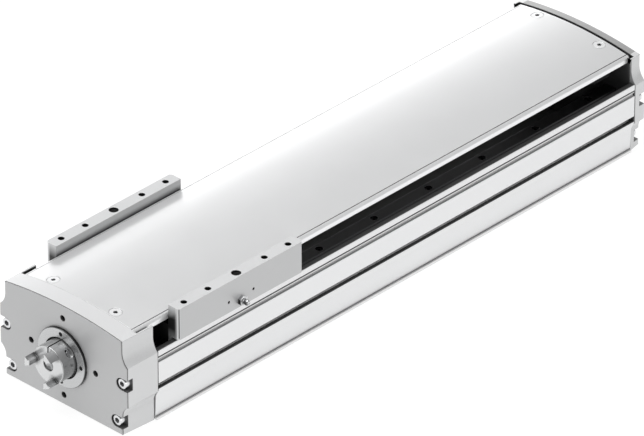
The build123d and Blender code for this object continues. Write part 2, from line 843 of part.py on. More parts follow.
def make_shaft_seal():
    start = drive_cap_front + seal_start
    return ring(drive_bore_radius, bearing_seat_radius + shaft_gap, start, seal_width)


def make_retainer():
    """Ring behind the drive bearings, held by four small screws."""
    start = drive_cap_back - retainer_thickness
    plate = ring(retainer_radius, spindle_radius + bore_clearance, start, retainer_thickness)
    for quarter in range(4):
        y, z = on_circle(retainer_screw_circle, 45 + 90 * quarter)
        plate -= rod(retainer_screw_radius + screw_gap, start, retainer_thickness, y, z)
    return plate


def make_retainer_screws():
    start = drive_bearing_end - retainer_screw_grip
    screws = []
    for quarter in range(4):
        y, z = on_circle(retainer_screw_circle, 45 + 90 * quarter)
        screws.append(rod(retainer_screw_radius, start, drive_cap_back - start, y, z))
    return Compound(children=screws)


def far_block_screw_places():
    """Y and Z of the screws that hold the far bearing block to its cap."""
    return [
        (side * far_block_screw_offset, axis_height + lift)
        for side in (-1, 1)
        for lift in (-far_block_screw_spread, far_block_screw_spread)
    ]


def far_block_section():
    """Outline of the far bearing block, narrow between the rails and wide below the cover."""
    neck = Polygon(
        (0, channel_floor + running_gap), (far_block_neck_half_width, channel_floor + running_gap),
        (far_block_neck_half_width, far_block_neck_top), (far_block_half_width, far_block_neck_top),
        (far_block_half_width, cover_edge_bottom - cover_thickness),
        (0, cover_edge_bottom - cover_thickness),
        align=None,
    )
    reach = far_block_half_width
    edge = arch_height(cover_flat_half_width, cover_edge_top, cover_crown, reach) - cover_thickness - seat_gap
    crown = cover_crown - cover_thickness - seat_gap
    floor = cover_edge_bottom - 2 * cover_thickness
    top = make_face(Wire.combine([
        ThreePointArc((-reach, edge), (0, crown), (reach, edge)),
        Line((reach, edge), (reach, floor)),
        Line((reach, floor), (-reach, floor)),
        Line((-reach, floor), (-reach, edge)),
    ])[0])
    return both_sides(neck) + top


def make_far_bearing_block():
    """Block inside the far end: carries the floating bearing and the cover's end."""
    block = bar(far_block_section(), far_block_start, far_block_length)
    block -= rod(far_bearing_outer, far_bearing_start, far_block_length)
    block -= rod(spindle_radius + bore_clearance, far_block_start, far_block_length)
    for y, z in far_block_screw_places():
        block -= rod(cap_screw_radius + screw_gap / 2, far_cap_inner - cap_screw_grip, cap_screw_grip, y, z)
    for side in (-1, 1):
        block -= cover_screw_hole(cover_screw_place(cover_screw_far_x, side))
    return block


def make_far_block_screws():
    length = far_cap_thickness - screw_pocket_depth + cap_screw_grip - cap_screw_hole_run_out
    head_end = far_cap_outer - (screw_pocket_depth - cap_screw_head_height)
    return Compound(children=[
        cap_screw_solid(
            cap_screw_radius, cap_screw_head_radius, cap_screw_head_height, cap_screw_hex,
            length, head_end, y, z, -1,
        )
        for y, z in far_block_screw_places()
    ])


def make_snap_ring():
    start = far_bearing_start + far_bearing_width + shaft_gap
    inner = journal_radius - snap_groove_depth + shaft_gap
    return ring(inner + snap_ring_width, inner, start, snap_ring_thickness - 2 * shaft_gap)


def jaw_section():
    """One coupling jaw: wide outside, narrow inside, with hollow flanks."""
    half_outer = jaw_outer_width / 2
    half_inner = jaw_inner_width / 2
    outer_reach = math.sqrt(hub_radius**2 - half_outer**2)
    inner_reach = math.sqrt(jaw_inner_radius**2 - half_inner**2)
    middle = (outer_reach + inner_reach) / 2
    hollow = (half_outer + half_inner) / 2 - jaw_flank_hollow
    return make_face(Wire.combine([
        ThreePointArc((outer_reach, -half_outer), (hub_radius, 0), (outer_reach, half_outer)),
        ThreePointArc((inner_reach, half_inner), (middle, hollow), (outer_reach, half_outer)),
        ThreePointArc((inner_reach, -half_inner), (middle, -hollow), (outer_reach, -half_outer)),
        ThreePointArc((inner_reach, -half_inner), (jaw_inner_radius, 0), (inner_reach, half_inner)),
    ])[0])


def clamp_screw_frame():
    """Location of the clamp screw, its Z axis across the slit."""
    place = Pos(drive_cap_front + clamp_screw_place, 0, axis_height)
    return place * Rot(hub_slit_angle, 0, 0) * Pos(0, clamp_screw_offset, 0)


def make_coupling_hub():
    """Clamping hub with three jaws for an elastic coupling."""
    start = drive_cap_front + hub_front
    length = hub_back - hub_front
    hub = ring(hub_radius, journal_radius + shaft_gap, start, length)
    rims = hub.faces().sort_by(Axis.X)[0].outer_wire().edges()
    hub = chamfer(rims, hub_chamfer)
    for k in range(jaw_count):
        turn = Rot(0, 0, jaw_first_angle + 360 / jaw_count * k)
        hub += bar(Pos(0, axis_height) * turn * jaw_section(), start - jaw_length, jaw_length)
    slit = Pos(start + length / 2, hub_radius / 2, 0) * Box(length, hub_radius + hole_run_out, hub_slit)
    hub -= Pos(0, 0, axis_height) * Rot(hub_slit_angle, 0, 0) * slit
    place = clamp_screw_frame()
    hub -= place * Cylinder(clamp_screw_radius + screw_gap, 3 * hub_radius)
    counterbore = extrude(Circle(clamp_screw_head_radius + screw_gap), amount=hub_radius)
    return hub - place * Pos(0, 0, clamp_screw_seat) * counterbore


def make_clamp_screw():
    head = extrude(Circle(clamp_screw_head_radius), amount=clamp_screw_head_height)
    shank = extrude(Circle(clamp_screw_radius), amount=-clamp_screw_length)
    hexagon = RegularPolygon(clamp_screw_hex / 2, 6, major_radius=False)
    socket = Pos(0, 0, clamp_screw_head_height) * extrude(hexagon, amount=-clamp_screw_socket_depth)
    return clamp_screw_frame() * Pos(0, 0, clamp_screw_seat) * (head + shank - socket)


def rail_half_outline(base, gap, top_chamfer):
    """Right half of a rail's outline, waisted where the balls run and grown by a gap."""
    half = rail_width / 2 + gap
    waist = half - rail_waist_depth
    top = rail_height + gap
    low = rail_waist_start + gap
    high = rail_waist_end - gap
    return Polygon(
        (0, base), (half, base), (half, low), (waist, low + rail_waist_depth),
        (waist, high - rail_waist_depth), (half, high), (half, top - top_chamfer),
        (half - top_chamfer, top), (0, top),
        align=None,
    )


def rail_section():
    """Guide rail on its ledge."""
    return Pos(0, rail_ledge) * both_sides(rail_half_outline(0, 0, rail_top_chamfer))


def make_guide_rails():
    rails = []
    for side in (-1, 1):
        rail = bar(Pos(side * rail_offset, 0) * rail_section(), profile_start, profile_length)
        for x in rail_screw_places():
            rail -= post(rail_hole_radius, x, side * rail_offset, rail_ledge, rail_height)
            head_bottom = rail_ledge + rail_height - rail_head_depth
            rail -= post(rail_head_radius, x, side * rail_offset, head_bottom, rail_head_depth)
        rails.append(rail)
    return rails


def make_rail_screws(side):
    head_top = rail_ledge + rail_height - rail_head_depth + rail_screw_head_height
    return Compound(children=[
        upright_screw(
            rail_screw_radius, rail_screw_head_radius, rail_screw_head_height, rail_screw_hex,
            rail_screw_length, x, side * rail_offset, head_top,
        )
        for x in rail_screw_places()
    ])


def block_section(gap, inset):
    """Guide block round its rail; inset draws the outside in, gap frees the rail."""
    half = block_width / 2 - inset
    top = block_top - inset
    outline = Pos(0, (block_bottom + top) / 2) * Rectangle(2 * half, top - block_bottom)
    opening = both_sides(rail_half_outline(block_bottom, gap, rail_top_chamfer / 2))
    return Pos(0, rail_ledge) * (outline - opening)


def block_places():
    """Centre X and side of each guide block."""
    return [(slide_centre + along * block_offset, side) for side in (-1, 1) for along in (-1, 1)]


def make_guide_blocks():
    blocks = []
    for x, side in block_places():
        body = bar(
            Pos(side * rail_offset, 0) * block_section(running_gap, 0.0),
            x - block_body_length / 2, block_body_length,
        )
        for hx, hy in block_hole_places(x, side):
            bottom = slide_plate_bottom - block_thread_depth
            body -= post(block_screw_radius + screw_gap / 2, hx, hy, bottom, block_thread_depth)
        blocks.append(body)
    return Compound(children=blocks)


def make_guide_end_seals():
    seals = []
    for x, side in block_places():
        for end in (-1, 1):
            inner = x + end * block_body_length / 2
            start = min(inner, inner + end * block_end_length)
            area = Pos(side * rail_offset, 0) * block_section(running_gap, block_end_inset)
            seals.append(bar(area, start, block_end_length))
    return Compound(children=seals)


def block_hole_places(x, side):
    """Four screw holes of one guide block."""
    return [
        (x + dx * block_hole_spread_x / 2, side * rail_offset + dy * block_hole_spread_y / 2)
        for dx in (-1, 1)
        for dy in (-1, 1)
    ]


def bracket_hole_places():
    """Four screws that hold the nut bracket under the slide."""
    return [
        (slide_centre + dx * bracket_screw_offset_x, dy * bracket_screw_offset_y)
        for dx in (-1, 1)
        for dy in (-1, 1)
    ]


def make_slide():
    """U-shaped slide: a plate under the cover and two arms beside it."""
    half = Polygon(
        (0, slide_plate_bottom), (arm_web_outer, slide_plate_bottom), (arm_web_outer, arm_bottom),
        (arm_outer, arm_bottom), (arm_outer, arm_top), (arm_inner, arm_top),
        (arm_inner, slide_plate_top), (0, slide_plate_top),
        align=None,
    )
    slide = bar(both_sides(half), slide_start, slide_length)
    outer_corners = [
        edge for edge in slide.edges().filter_by(Axis.Z)
        if abs(abs(edge.center().Y) - arm_outer) < 0.01
    ]
    slide = chamfer(outer_corners, arm_corner_chamfer)
    for side in (-1, 1):
        for offset in (arm_outer_hole, arm_inner_hole):
            for along in (-1, 1):
                x = slide_centre + along * offset
                bottom = arm_top - arm_thread_depth
                slide -= post(arm_thread_radius, x, side * arm_hole_offset, bottom, arm_thread_depth)
        bottom = arm_top - arm_centring_depth
        slide -= post(arm_centring_radius, slide_centre, side * arm_hole_offset, bottom, arm_centring_depth)
        for along in (-1, 1):
            x = slide_centre + along * arm_small_hole_offset
            place = Pos(x, side * arm_outer, arm_small_hole_height) * Rot(90, 0, 0)
            slide -= place * Cylinder(arm_small_hole_radius, 2 * arm_small_hole_depth)
        thread = Pos(slide_centre, side * arm_outer, nipple_height) * Rot(90, 0, 0)
        thread_depth = nipple_thread_length + hole_run_out / 2
        slide -= thread * Cylinder(nipple_thread_radius + screw_gap / 2, 2 * thread_depth)
    for x, side in block_places():
        for hx, hy in block_hole_places(x, side):
            slide -= post(block_screw_radius + screw_gap, hx, hy, slide_plate_bottom, slide_plate_thickness)
            slide -= post(block_screw_head_radius + screw_gap, hx, hy,
                          slide_plate_top - block_screw_head_height, block_screw_head_height)
    for x, y in bracket_hole_places():
        slide -= post(bracket_screw_radius + screw_gap, x, y, slide_plate_bottom, slide_plate_thickness)
        slide -= post(bracket_screw_head_radius + screw_gap, x, y,
                      slide_plate_top - bracket_screw_head_height, bracket_screw_head_height)
    return slide


def make_block_screws():
    return Compound(children=[
        upright_screw(block_screw_radius, block_screw_head_radius, block_screw_head_height, block_screw_hex,
                      block_screw_length, hx, hy, slide_plate_top)
        for x, side in block_places()
        for hx, hy in block_hole_places(x, side)
    ])


def make_bracket_screws():
    return Compound(children=[
        upright_screw(bracket_screw_radius, bracket_screw_head_radius, bracket_screw_head_height,
                      bracket_screw_hex, bracket_screw_length, x, y, slide_plate_top)
        for x, y in bracket_hole_places()
    ])


def make_grease_nipple(side):
    """Hexagon, neck and ball head, screwed into an arm's outer face."""
    hexagon = extrude(RegularPolygon(nipple_hex / 2, 6, major_radius=False), amount=nipple_hex_length)
    thread = extrude(Circle(nipple_thread_radius), amount=-nipple_thread_length)
    neck = extrude(Circle(nipple_neck_radius), amount=nipple_length - nipple_ball_radius)
    ball = Pos(0, 0, nipple_length - nipple_ball_radius) * Sphere(nipple_ball_radius)
    place = Pos(slide_centre, side * arm_outer, nipple_height) * Rot(-side * 90, 0, 0)
    return place * (hexagon + thread + neck + ball)


def nut_screw_places():
    """Y and Z of the screws in the nut's flange."""
    return [
        on_circle(nut_screw_circle, angle)
        for angle in (nut_screw_angle, -nut_screw_angle, 180 - nut_screw_angle, 180 + nut_screw_angle)
    ]


def make_nut_bracket():
    height = slide_plate_bottom - bracket_bottom
    middle = (slide_plate_bottom + bracket_bottom) / 2
    start = slide_centre - bracket_length / 2
    block = bar(Pos(0, middle) * Rectangle(2 * bracket_half_width, height), start, bracket_length)
    lower_edges = [
        edge for edge in block.edges().filter_by(Axis.X) if edge.center().Z < middle
    ]
    block = chamfer(lower_edges, bracket_chamfer)
    block -= rod(nut_body_radius + seat_gap, start, bracket_length)
    for y, z in nut_screw_places():
        block -= rod(nut_screw_radius + screw_gap / 2, start, nut_screw_length, y, z)
    depth = bracket_screw_length + bracket_screw_head_height - slide_plate_thickness + hole_run_out
    for x, y in bracket_hole_places():
        block -= post(bracket_screw_radius + screw_gap / 2, x, y, slide_plate_bottom - depth, depth)
    return block


def make_ball_nut():
    flange = Pos(0, axis_height) * (
        Circle(nut_flange_radius) & Rectangle(3 * nut_flange_radius, 2 * nut_flange_flat)
    )
    nut = bar(flange, nut_start, nut_flange_thickness)
    nut += rod(nut_body_radius, nut_start, nut_length)
    nut -= rod(spindle_radius + nut_bore_gap, nut_start, nut_length)
    for y, z in nut_screw_places():
        nut -= rod(nut_screw_radius + screw_gap, nut_start, nut_flange_thickness, y, z)
        nut -= rod(nut_screw_head_radius + screw_gap, nut_start, nut_screw_head_height, y, z)
    return nut


def make_nut_screws():
    return Compound(children=[
        cap_screw_solid(nut_screw_radius, nut_screw_head_radius, nut_screw_head_height, nut_screw_hex,
                        nut_screw_length, nut_start, y, z, 1)
        for y, z in nut_screw_places()
    ])


def make_buffers(wall, towards, gap_to_slide):
    """Two rubber stops on an end wall, reaching almost to the slide at its limit."""
    length = gap_to_slide - buffer_gap
    start = min(wall, wall + towards * length)
    height = (slide_plate_bottom + slide_plate_top) / 2
    return Compound(children=[
        rod(buffer_radius, start, length, side * buffer_offset, height) for side in (-1, 1)
    ])


drive_outer_rings = []
drive_inner_rings = []
drive_balls = []
for k in range(drive_bearing_count):
    bearing_start = drive_cap_front + drive_bearing_start + k * drive_bearing_width
    outer_ring, inner_ring, balls = bearing_parts(
        bearing_start, drive_bearing_width, drive_bearing_outer, bearing_seat_radius, ring_wall
    )
    drive_outer_rings.append(outer_ring)
    drive_inner_rings.append(inner_ring)
    drive_balls += balls

far_outer_ring, far_inner_ring, far_balls = bearing_parts(
    far_bearing_start, far_bearing_width, far_bearing_outer, journal_radius, far_ring_wall
)

right_rail, left_rail = make_guide_rails()
drive_stop_gap = slide_start - slide_travel_back - profile_start
far_stop_gap = far_block_start - (slide_start + slide_length + slide_travel_out)

nodes = {
    "profile": make_profile(),
    "drive_end_cap": make_drive_end_cap(),
    "far_end_cap": make_far_end_cap(),
    "drive_seam_plate": make_seam_plate(drive_cap_back),
    "far_seam_plate": make_far_seam_plate(),
    "cover": make_cover(),
    "cover_screws": make_cover_screws(),
    "drive_cap_screws": make_cap_screws(drive_cap_front, 1, drive_cap_thickness),
    "far_cap_screws": make_cap_screws(far_cap_outer, -1, far_cap_thickness),
    "pilot_collar": make_collar(),
    "collar_screws": make_collar_screws(),
    "shaft_seal": make_shaft_seal(),
    "drive_bearing_outer_rings": Compound(children=drive_outer_rings),
    "drive_bearing_balls": Compound(children=drive_balls),
    "drive_bearing_inner_rings": Compound(children=drive_inner_rings),
    "bearing_lock_nut": make_lock_nut(),
    "bearing_retainer": make_retainer(),
    "retainer_screws": make_retainer_screws(),
    "far_bearing_block": make_far_bearing_block(),
    "far_block_screws": make_far_block_screws(),
    "far_bearing_outer_ring": far_outer_ring,
    "far_bearing_balls": Compound(children=far_balls),
    "far_bearing_inner_ring": far_inner_ring,
    "far_snap_ring": make_snap_ring(),
    "spindle": make_spindle(),
    "coupling_hub": make_coupling_hub(),
    "clamp_screw": make_clamp_screw(),
    "guide_rail_left": left_rail,
    "guide_rail_right": right_rail,
    "rail_screws_left": make_rail_screws(1),
    "rail_screws_right": make_rail_screws(-1),
    "guide_blocks": make_guide_blocks(),
    "guide_end_seals": make_guide_end_seals(),
    "guide_block_screws": make_block_screws(),
    "slide": make_slide(),
    "grease_nipple_left": make_grease_nipple(1),
    "grease_nipple_right": make_grease_nipple(-1),
    "nut_bracket": make_nut_bracket(),
    "nut_bracket_screws": make_bracket_screws(),
    "ball_nut": make_ball_nut(),
    "nut_screws": make_nut_screws(),
    "drive_buffers": make_buffers(profile_start, 1, drive_stop_gap),
    "far_buffers": make_buffers(far_block_start, -1, far_stop_gap),
}

os.makedirs("parts", exist_ok=True)
for name, shape in nodes.items():
    export_step(shape, f"parts/{name}.step")
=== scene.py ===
import logging
import math
from collections.abc import Callable, Iterator, Sequence
from contextlib import contextmanager
from dataclasses import dataclass, field
from enum import Enum

import bmesh
import bpy
from mathutils import Matrix, Vector


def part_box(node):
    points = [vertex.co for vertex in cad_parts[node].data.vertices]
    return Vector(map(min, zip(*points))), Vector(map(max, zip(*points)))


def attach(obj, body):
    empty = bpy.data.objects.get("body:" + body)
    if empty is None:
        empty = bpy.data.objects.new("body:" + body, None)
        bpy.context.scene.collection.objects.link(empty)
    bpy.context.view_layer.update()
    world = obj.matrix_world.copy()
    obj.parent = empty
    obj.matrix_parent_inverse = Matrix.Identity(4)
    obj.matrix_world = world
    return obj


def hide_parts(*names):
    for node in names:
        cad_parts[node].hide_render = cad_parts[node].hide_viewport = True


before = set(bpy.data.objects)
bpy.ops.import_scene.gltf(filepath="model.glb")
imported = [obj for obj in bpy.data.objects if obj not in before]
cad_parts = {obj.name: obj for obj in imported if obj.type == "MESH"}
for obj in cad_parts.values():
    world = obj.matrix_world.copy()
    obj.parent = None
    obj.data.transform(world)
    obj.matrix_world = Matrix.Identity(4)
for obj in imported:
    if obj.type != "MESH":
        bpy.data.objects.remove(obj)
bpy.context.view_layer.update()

# Looks of a ball screw linear axis. Metres, +X from the drive end to the far end, +Z up.

MM = 0.001
MERGE_DISTANCE = 0.001 * MM
PLANE_MARGIN = 0.01 * MM
ROUND_STEPS = 4
BREAK_STEPS = 2
EFFECT_SAMPLES = 4

# Angles in degrees: faces that count as flat, edges that are broken, and edges that stay smooth
FLAT_ANGLE = 0.4
SHARP_ANGLE = 38.0
SMOOTH_SCREW = 28.0
SMOOTH_TURNED = 35.0
SMOOTH_PIECE = 40.0

WHITE = (1.0, 1.0, 1.0, 1.0)
LOG = logging.getLogger("linear_axis")

EdgeTest = Callable[[Vector, Vector], bool]
Rings = Sequence[tuple[float, float]]
Span = tuple[float, float]
Colour = tuple[float, float, float]
Socket = bpy.types.NodeSocket


# Modelling helpers


def deselect_all() -> None:
    """Leave object mode and clear the selection."""
    if bpy.context.object is not None and bpy.context.object.mode != "OBJECT":
        bpy.ops.object.mode_set(mode="OBJECT")
    bpy.ops.object.select_all(action="DESELECT")


def make_active(piece: bpy.types.Object) -> None:
    """Select one object alone and make it the active one.

    Args:
        piece: The object.
    """
    deselect_all()
    piece.select_set(True)
    bpy.context.view_layer.objects.active = piece


@contextmanager
def editing(piece: bpy.types.Object) -> Iterator[bpy.types.Object]:
    """Edit mode on one piece with nothing selected.

    Args:
        piece: The mesh object to edit.

    Yields:
        The same object, in edit mode.
    """
    make_active(piece)
    bpy.ops.object.mode_set(mode="EDIT")
    bpy.ops.mesh.select_all(action="DESELECT")
    try:
        yield piece
    finally:
        bpy.ops.object.mode_set(mode="OBJECT")


def select_points(piece: bpy.types.Object, wanted: Callable[[Vector], bool]) -> None:
    """Select the points whose place passes a test.

    Args:
        piece: The mesh object, in edit mode.
        wanted: Takes a point's place and says whether it is chosen.
    """
    bpy.ops.mesh.select_mode(type="VERT")
    mesh = bmesh.from_edit_mesh(piece.data)
    for point in mesh.verts:
        point.select_set(wanted(point.co))
    mesh.select_flush_mode()
    bmesh.update_edit_mesh(piece.data)


def round_edges(piece: bpy.types.Object, wanted: EdgeTest, width: float) -> None:
    """Round the edges whose two ends pass a test.

    Args:
        piece: The mesh object.
        wanted: Takes an edge's two ends and says whether it is rounded.
        width: Size of the round.
    """
    with editing(piece):
        bpy.ops.mesh.select_mode(type="EDGE")
        mesh = bmesh.from_edit_mesh(piece.data)
        for edge in mesh.edges:
            edge.select_set(wanted(edge.verts[0].co, edge.verts[1].co))
        bmesh.update_edit_mesh(piece.data)
        bpy.ops.mesh.bevel(
            offset=width, segments=ROUND_STEPS, profile=0.5, affect="EDGES", clamp_overlap=True
        )


def extrude_loop(radius_scale: float, lift: float, height: float) -> None:
    """Extrude the selected loop along Z and scale it about the Z axis.

    Args:
        radius_scale: New radius as a share of the old one.
        lift: How far the loop moves along Z.
        height: The loop's height before it moves.
    """
    bpy.ops.mesh.extrude_region_move(TRANSFORM_OT_translate={"value": (0.0, 0.0, lift)})
    bpy.ops.transform.resize(
        value=(radius_scale, radius_scale, 1.0), center_override=(0.0, 0.0, height + lift)
    )


def extrude_rings(rings: Rings, radius: float, height: float) -> None:
    """Extrude the selected loop through a row of rings about the Z axis.

    Args:
        rings: Radius and height of each ring in turn.
        radius: The loop's own radius.
        height: The loop's own height.
    """
    for ring_radius, ring_height in rings:
        extrude_loop(ring_radius / radius, ring_height - height, height)
        radius, height = ring_radius, ring_height


def close_up(piece: bpy.types.Object) -> None:
    """Merge doubled points and turn every face outwards.

    Args:
        piece: The mesh object.
    """
    with editing(piece):
        bpy.ops.mesh.select_all(action="SELECT")
        bpy.ops.mesh.remove_doubles(threshold=MERGE_DISTANCE)
        bpy.ops.mesh.normals_make_consistent(inside=False)


def apply_modifiers(piece: bpy.types.Object) -> None:
    """Apply every modifier of a piece, from the first to the last.

    Args:
        piece: The mesh object.
    """
    make_active(piece)
    for name in [modifier.name for modifier in piece.modifiers]:
        bpy.ops.object.modifier_apply(modifier=name)


def smooth(piece: bpy.types.Object, degrees: float) -> None:
    """Shade a piece smooth up to an angle between its faces."""
    make_active(piece)
    bpy.ops.object.shade_smooth_by_angle(angle=math.radians(degrees))


def settle(piece: bpy.types.Object, place: Matrix) -> None:
    """Move a piece to its place and put that place into its mesh.

    Args:
        piece: The piece as modelled at the origin.
        place: Where it goes.
    """
    piece.matrix_world = place
    make_active(piece)
    bpy.ops.object.transform_apply(location=True, rotation=True, scale=True)


def join(parts: Sequence[bpy.types.Object]) -> bpy.types.Object:
    """Join several objects into the first one.

    Args:
        parts: The objects, one or more.

    Returns:
        The object that holds them all.
    """
    deselect_all()
    for part in parts:
        part.select_set(True)
    bpy.context.view_layer.objects.active = parts[0]
    if len(parts) > 1:
        bpy.ops.object.join()
    return bpy.context.active_object


def copies(master: bpy.types.Object, places: Sequence[Matrix], name: str) -> bpy.types.Object:
    """Copy a finished piece to several places and join the copies.

    Args:
        master: The piece as modelled at the origin; it is used up.
        places: Where each copy goes.
        name: The joined piece's name.

    Returns:
        One object that holds a copy at each place.
    """
    made = []
    for place in places:
        make_active(master)
        bpy.ops.object.duplicate(linked=False)
        copy = bpy.context.active_object
        settle(copy, place)
        made.append(copy)
    bpy.data.objects.remove(master)
    joined = join(made)
    joined.name = name
    return joined


def along(direction: Vector, origin: Vector) -> Matrix:
    """A place whose Z axis points along a direction.

    Args:
        direction: Where the local Z axis points.
        origin: The place's origin.

    Returns:
        The place as a matrix.
    """
    turn = direction.normalized().to_track_quat("Z", "Y").to_matrix().to_4x4()
    return Matrix.Translation(origin) @ turn


def softened_copy(
    node: str, name: str, width: float, rounded: tuple[EdgeTest, float] | None = None
) -> bpy.types.Object:
    """Copy a rigid piece of the frame and break its sharp edges.

    Args:
        node: The frame's node.
        name: The new piece's name.
        width: Width of the broken edge.
        rounded: A test for edges that get a larger round first, and its size.

    Returns:
        The new piece, at the same place as the node.
    """
    make_active(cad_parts[node])
    bpy.ops.object.duplicate(linked=False)
    piece = bpy.context.active_object
    piece.parent = None
    piece.matrix_world = Matrix.Identity(4)
    for key in list(piece.keys()):
        del piece[key]
    piece.name = name
    piece.data.name = name
    with editing(piece):
        bpy.ops.mesh.select_all(action="SELECT")
        bpy.ops.mesh.customdata_custom_splitnormals_clear()
        bpy.ops.mesh.remove_doubles(threshold=MERGE_DISTANCE)
        bpy.ops.mesh.mark_sharp(clear=True)
        bpy.ops.mesh.dissolve_limited(angle_limit=math.radians(FLAT_ANGLE), delimit=set())
    if rounded is not None:
        round_edges(piece, *rounded)
    edge = piece.modifiers.new("broken_edges", "BEVEL")
    edge.width = width
    edge.segments = BREAK_STEPS
    edge.limit_method = "ANGLE"
    edge.angle_limit = math.radians(SHARP_ANGLE)
    edge.use_clamp_overlap = False
    edge.miter_outer = "MITER_ARC"
    weights = piece.modifiers.new("face_weights", "WEIGHTED_NORMAL")
    weights.keep_sharp = True
    smooth(piece, SMOOTH_PIECE)
    apply_modifiers(piece)
    return piece


def finish_piece(
    piece: bpy.types.Object, material: bpy.types.Material, body: str, slot: str, *nodes: str
) -> None:
    """Dress a new piece, hang it on its body and let it stand for its nodes.

    Args:
        piece: The new piece.
        material: Its finish.
        body: The body that it rides on.
        slot: A material slot's name; not used.
        nodes: The frame's nodes that it stands for.
    """
    piece.data.materials.clear()
    piece.data.materials.append(material)
    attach(piece, body)
    if nodes:
        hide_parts(*nodes)
    LOG.info("%s: %d faces, rides on %s", piece.name, len(piece.data.polygons), body)


def dress_nodes(material: bpy.types.Material, *nodes: str) -> None:
    """Give frame nodes a finish in place of their plain one.

    Args:
        material: The finish.
        nodes: The frame's nodes that keep their own mesh.
    """
    for node in nodes:
        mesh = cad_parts[node].data
        mesh.materials.clear()
        mesh.materials.append(material)
        LOG.info("%s: kept from the frame, dressed in %s", node, material.name)


# Finishes


class Grain(Enum):
    """How a surface was worked; the value stretches the noise along X, Y and Z."""

    DRAWN = (0.015, 1.0, 1.0)
    MILLED = (1.0, 0.06, 0.3)
    BLASTED = (1.0, 1.0, 1.0)
    TURNED = (1.0, 0.03, 0.03)


class Shader:
    """Adds and joins the nodes of one material or group."""

    def __init__(self, tree: bpy.types.NodeTree) -> None:
        """Start on a node tree."""
        self.tree = tree

    def add(self, kind: str, inputs: dict | None = None, **settings: object) -> bpy.types.Node:
        """Add a node, set its properties and fill its inputs.

        Args:
            kind: The node's type.
            inputs: A value or another node's output for each input by name or number.
            settings: Properties of the node itself.

        Returns:
            The new node.
        """
        node = self.tree.nodes.new(kind)
        for key, value in settings.items():
            setattr(node, key, value)
        for key, value in (inputs or {}).items():
            if isinstance(value, Socket):
                self.tree.links.new(value, node.inputs[key])
            else:
                node.inputs[key].default_value = value
        return node

    def group(self, tree: bpy.types.NodeTree, inputs: dict) -> bpy.types.NodeOutputs:
        """The outputs of a shader group fed with some inputs."""
        return self.add("ShaderNodeGroup", inputs, node_tree=tree).outputs

    def sum(self, first: Socket, factor: float, offset: object) -> Socket:
        """First times factor, plus offset."""
        return self.number("MULTIPLY_ADD", first, factor, offset)

    def number(self, operation: str, *values: object, clamp: bool = False) -> Socket:
        """The result of an operation on numbers."""
        inputs = dict(enumerate(values))
        return self.add("ShaderNodeMath", inputs, operation=operation, use_clamp=clamp).outputs[0]

    def vector(self, operation: str, *values: object) -> Socket:
        """The result of an operation on vectors."""
        inputs = dict(enumerate(values))
        return self.add("ShaderNodeVectorMath", inputs, operation=operation).outputs[0]

    def facing(self, first: Socket, last: object) -> Socket:
        """How far two directions agree."""
        return self.add(
            "ShaderNodeVectorMath", {0: first, 1: last}, operation="DOT_PRODUCT"
        ).outputs["Value"]

    def scaled(self, colour: object, factor: Socket) -> Socket:
        """A colour or vector times a number."""
        return self.add(
            "ShaderNodeVectorMath", {0: colour, "Scale": factor}, operation="SCALE"
        ).outputs[0]

    def mixed(self, mask: Socket, under: Socket, over: Colour) -> Socket:
        """The colour beneath, with another laid over it where the mask is 1."""
        inputs = {"Factor": mask, 6: under, 7: (*over, 1.0)}
        return self.add("ShaderNodeMix", inputs, data_type="RGBA").outputs[2]

    def place(self) -> Socket:
        """The spot's place on the object."""
        return self.add("ShaderNodeTexCoord").outputs["Object"]

    def noise(self, place: Socket, scale: object, detail: float) -> Socket:
        """Noise of a scale and a fineness, about 0.5 on average."""
        inputs = {"Vector": place, "Scale": scale, "Detail": detail}
        return self.add("ShaderNodeTexNoise", inputs).outputs["Fac"]


def new_group(name: str, inputs: dict[str, object], outputs: Sequence[str]) -> bpy.types.NodeTree:
    """An empty shader group with named sockets.

    Args:
        name: The group's name.
        inputs: Default value for each input, a number or a vector.
        outputs: The outputs' names; each gives a number.

    Returns:
        The group's node tree.
    """
    group = bpy.data.node_groups.new(name, "ShaderNodeTree")
    for label, default in inputs.items():
        kind = "NodeSocketFloat" if isinstance(default, float) else "NodeSocketVector"
        socket = group.interface.new_socket(label, in_out="INPUT", socket_type=kind)
        socket.default_value = default
    for label in outputs:
        group.interface.new_socket(label, in_out="OUTPUT", socket_type="NodeSocketFloat")
    return group


def build_grain_group() -> bpy.types.NodeTree:
    """Fine marks of machining or blasting.

    Returns:
        A group that takes the stretch and size of the marks and gives Height and Value.
    """
    coarse_share, fine_detail, coarse_detail = 0.18, 3.0, 2.0
    inputs = {"Stretch": (1.0, 1.0, 1.0), "Scale": 1000.0}
    group = new_group("worked_grain", inputs, ("Height", "Value"))
    shader = Shader(group)
    given = shader.add("NodeGroupInput").outputs
    stretched = shader.vector("MULTIPLY", shader.place(), given["Stretch"])
    fine = shader.noise(stretched, given["Scale"], fine_detail)
    coarse_scale = shader.number("MULTIPLY", given["Scale"], coarse_share)
    coarse = shader.noise(stretched, coarse_scale, coarse_detail)
    value = shader.sum(coarse, 0.5, shader.sum(fine, 0.5, 0.0))
    shader.add("NodeGroupOutput", {"Height": fine, "Value": value})
    return group


